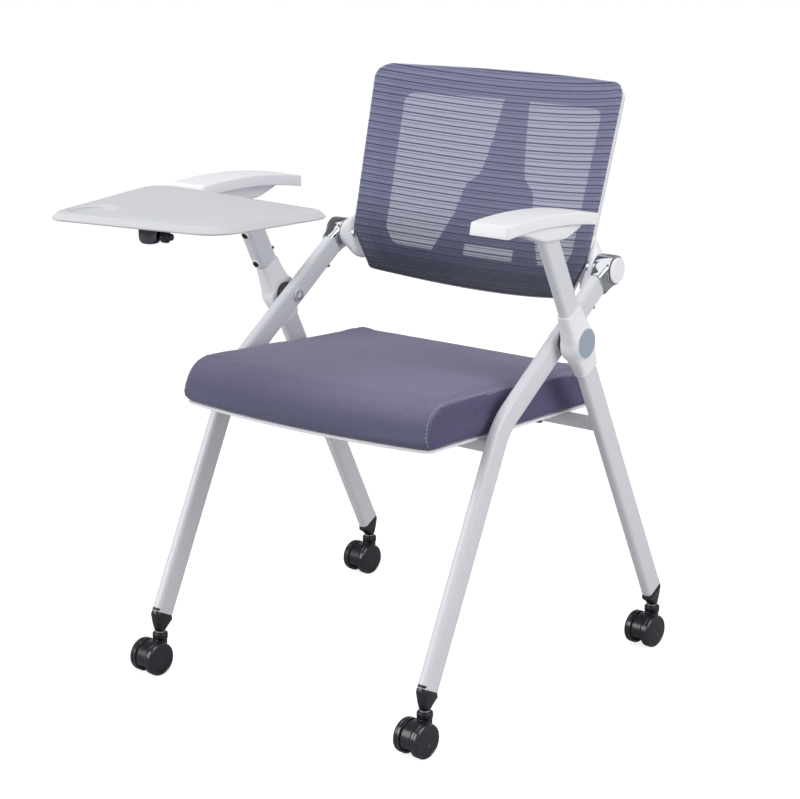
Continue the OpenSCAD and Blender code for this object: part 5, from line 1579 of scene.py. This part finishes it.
def striped(name):
    """Rows of threads up the back, thick, open, thin and open, over fine upright threads, and
    painted shade towards the bottom.
    """
    material, tree = blank(name)
    across_back, up_back = back_place(tree)
    slow = add(tree, "ShaderNodeMath", [(0, across_back), (1, 0.02)], operation="MULTIPLY")
    spot = add(tree, "ShaderNodeCombineXYZ", [(0, slow), (1, up_back)])
    wobble = add(tree, "ShaderNodeTexNoise", [("Vector", spot), ("Scale", 0.35), ("Detail", 2)])
    wavy = add(tree, "ShaderNodeMath", [(0, wobble), (1, 0.8), (2, up_back)],
               operation="MULTIPLY_ADD")
    rows = add(tree, "ShaderNodeMath", [(0, wavy), (1, THREAD_ROW)], operation="DIVIDE")
    share = add(tree, "ShaderNodeMath", [(0, rows)], operation="FRACT")
    colours = add(tree, "ShaderNodeValToRGB", [(0, share)])
    set_stops(colours, [(place, linear(colour)) for place, colour, _ in THREADS])
    opacity = add(tree, "ShaderNodeValToRGB", [(0, share)])
    set_stops(opacity, [(place, grey(cover)) for place, _, cover in THREADS])
    phase = add(tree, "ShaderNodeMath", [(0, across_back), (1, 2 * math.pi / UPRIGHT_PITCH)],
                operation="MULTIPLY")
    upright = add(tree, "ShaderNodeMath", [(0, phase)], operation="SINE")
    cover = add(tree, "ShaderNodeMath", [(0, upright), (1, 0.1), (2, opacity)],
                operation="MULTIPLY_ADD")
    height = add(tree, "ShaderNodeMath", [(0, upright), (1, 0.2), (2, cover)],
                 operation="MULTIPLY_ADD")
    bump = add(tree, "ShaderNodeBump", [("Height", height), ("Strength", 0.5),
                                        ("Distance", 0.5 * MM)])
    # Painted shade: the mesh turns dark towards the bottom of the back, fully dark 40 mm below the
    # joint.
    low = add(tree, "ShaderNodeMapRange", [("Value", wavy), ("From Min", -40), ("From Max", 60)])
    shaded_towards_bottom = add(tree, "ShaderNodeMix", [(0, low), (6, linear("#35374c")), (7, colours)],
               data_type="RGBA")
    shader = add(tree, "ShaderNodeBsdfPrincipled", [
        ("Base Color", shaded_towards_bottom.outputs[2]), ("Roughness", 0.6), ("Sheen Weight", 0.25),
        ("Sheen Roughness", 0.4), ("Normal", bump)])
    clear = add(tree, "ShaderNodeBsdfTransparent")
    mix = add(tree, "ShaderNodeMixShader", [(0, cover), (1, clear), (2, shader)])
    add(tree, "ShaderNodeOutputMaterial", [("Surface", mix)])
    return material


mesh_cloth = striped("striped_polyester_mesh")
print("mesh cloth drawn with rows", THREAD_ROW, "mm apart")


# %% Mesh sheet and its edge
def mesh_grid(inset, depth, thick, columns=72, rows=40):
    """The flat sheet inside the outline, as a thin plate of upright columns."""
    edge = back_outline(inset)
    left, right = np.argmin(edge[:, 0]), np.argmax(edge[:, 0])
    count = len(edge)
    low = edge[[(left + k) % count for k in range((right - left) % count + 1)]]
    high = edge[[(right + k) % count for k in range((left - right) % count + 1)]]
    width = min(-low[0, 0], low[-1, 0]) - 0.05
    xs = width * np.sin(np.linspace(-math.pi / 2, math.pi / 2, columns))
    bottom = np.interp(xs, low[:, 0], low[:, 1])
    top = np.interp(xs, high[::-1, 0], high[::-1, 1])
    front = np.array([[(x, depth, low_end + (top_end - low_end) * share)
                       for x, low_end, top_end in zip(xs, bottom, top)]
                      for share in np.linspace(0, 1, rows)])
    return grid_plate(front, front + (0, thick, 0))


sheet = make("mesh_cloth", [on_back(mesh_grid(2.6, MESH_Y, 0.6))], mesh_cloth, "backrest",
             "mesh_fabric", "back_mesh")
back_layer(sheet)
border = make("mesh_edge", [on_back(around([
    (3.4, MESH_Y), (1.5, MESH_Y), (0.5, MESH_Y + 0.5), (-0.1, MESH_Y + 1.8), (-0.2, MESH_Y + 5),
    (0.3, MESH_Y + 5.2), (0.6, MESH_Y + 2.2), (1.1, MESH_Y + 1.1), (3.4, MESH_Y + 0.9)]))],
    mesh_cloth, "backrest", "mesh_fabric")
back_layer(border)
print("mesh sheet has", len(sheet.data.polygons), "faces")

# %% Screws behind the rim, and hidden pivots
low_row, top_row, apart = 11 - BACK_DOWN, BACK_UP - 11, 103
spots, axes = [], []
for x, up in [(apart * k, low_row) for k in (-1.5, -0.5, 0.5, 1.5)] + [
        (apart * k, top_row) for k in (-1.5, 1.5)]:
    turn = math.asin(x / CURVE_R)
    spots.append(curved([(x, RIM_BACK - 0.4, up)])[0] @ BACK_AXES + BACK_AT)
    local = np.array([(math.cos(turn), -math.sin(turn), 0), (0, 0, -1),
                      (math.sin(turn), math.cos(turn), 0)])
    axes.append(local @ BACK_AXES)
repeat("back_screw_heads", spots, axes, socket_head(4, 1.8), zinc, "backrest", "zinc_steel",
       "back_screws")
# Pivots that hardly show keep the CAD model's own solids.
for node, material in (("recline_bushes", nylon), ("hub_bolts", enamel), ("hub_nuts", zinc),
                       ("back_shafts", zinc), ("seat_hinges", nylon), ("seat_saddles", nylon)):
    obj = frame["nodes"][node]
    obj.data.materials.clear()
    obj.data.materials.append(material)
print("back screws:", len(spots))
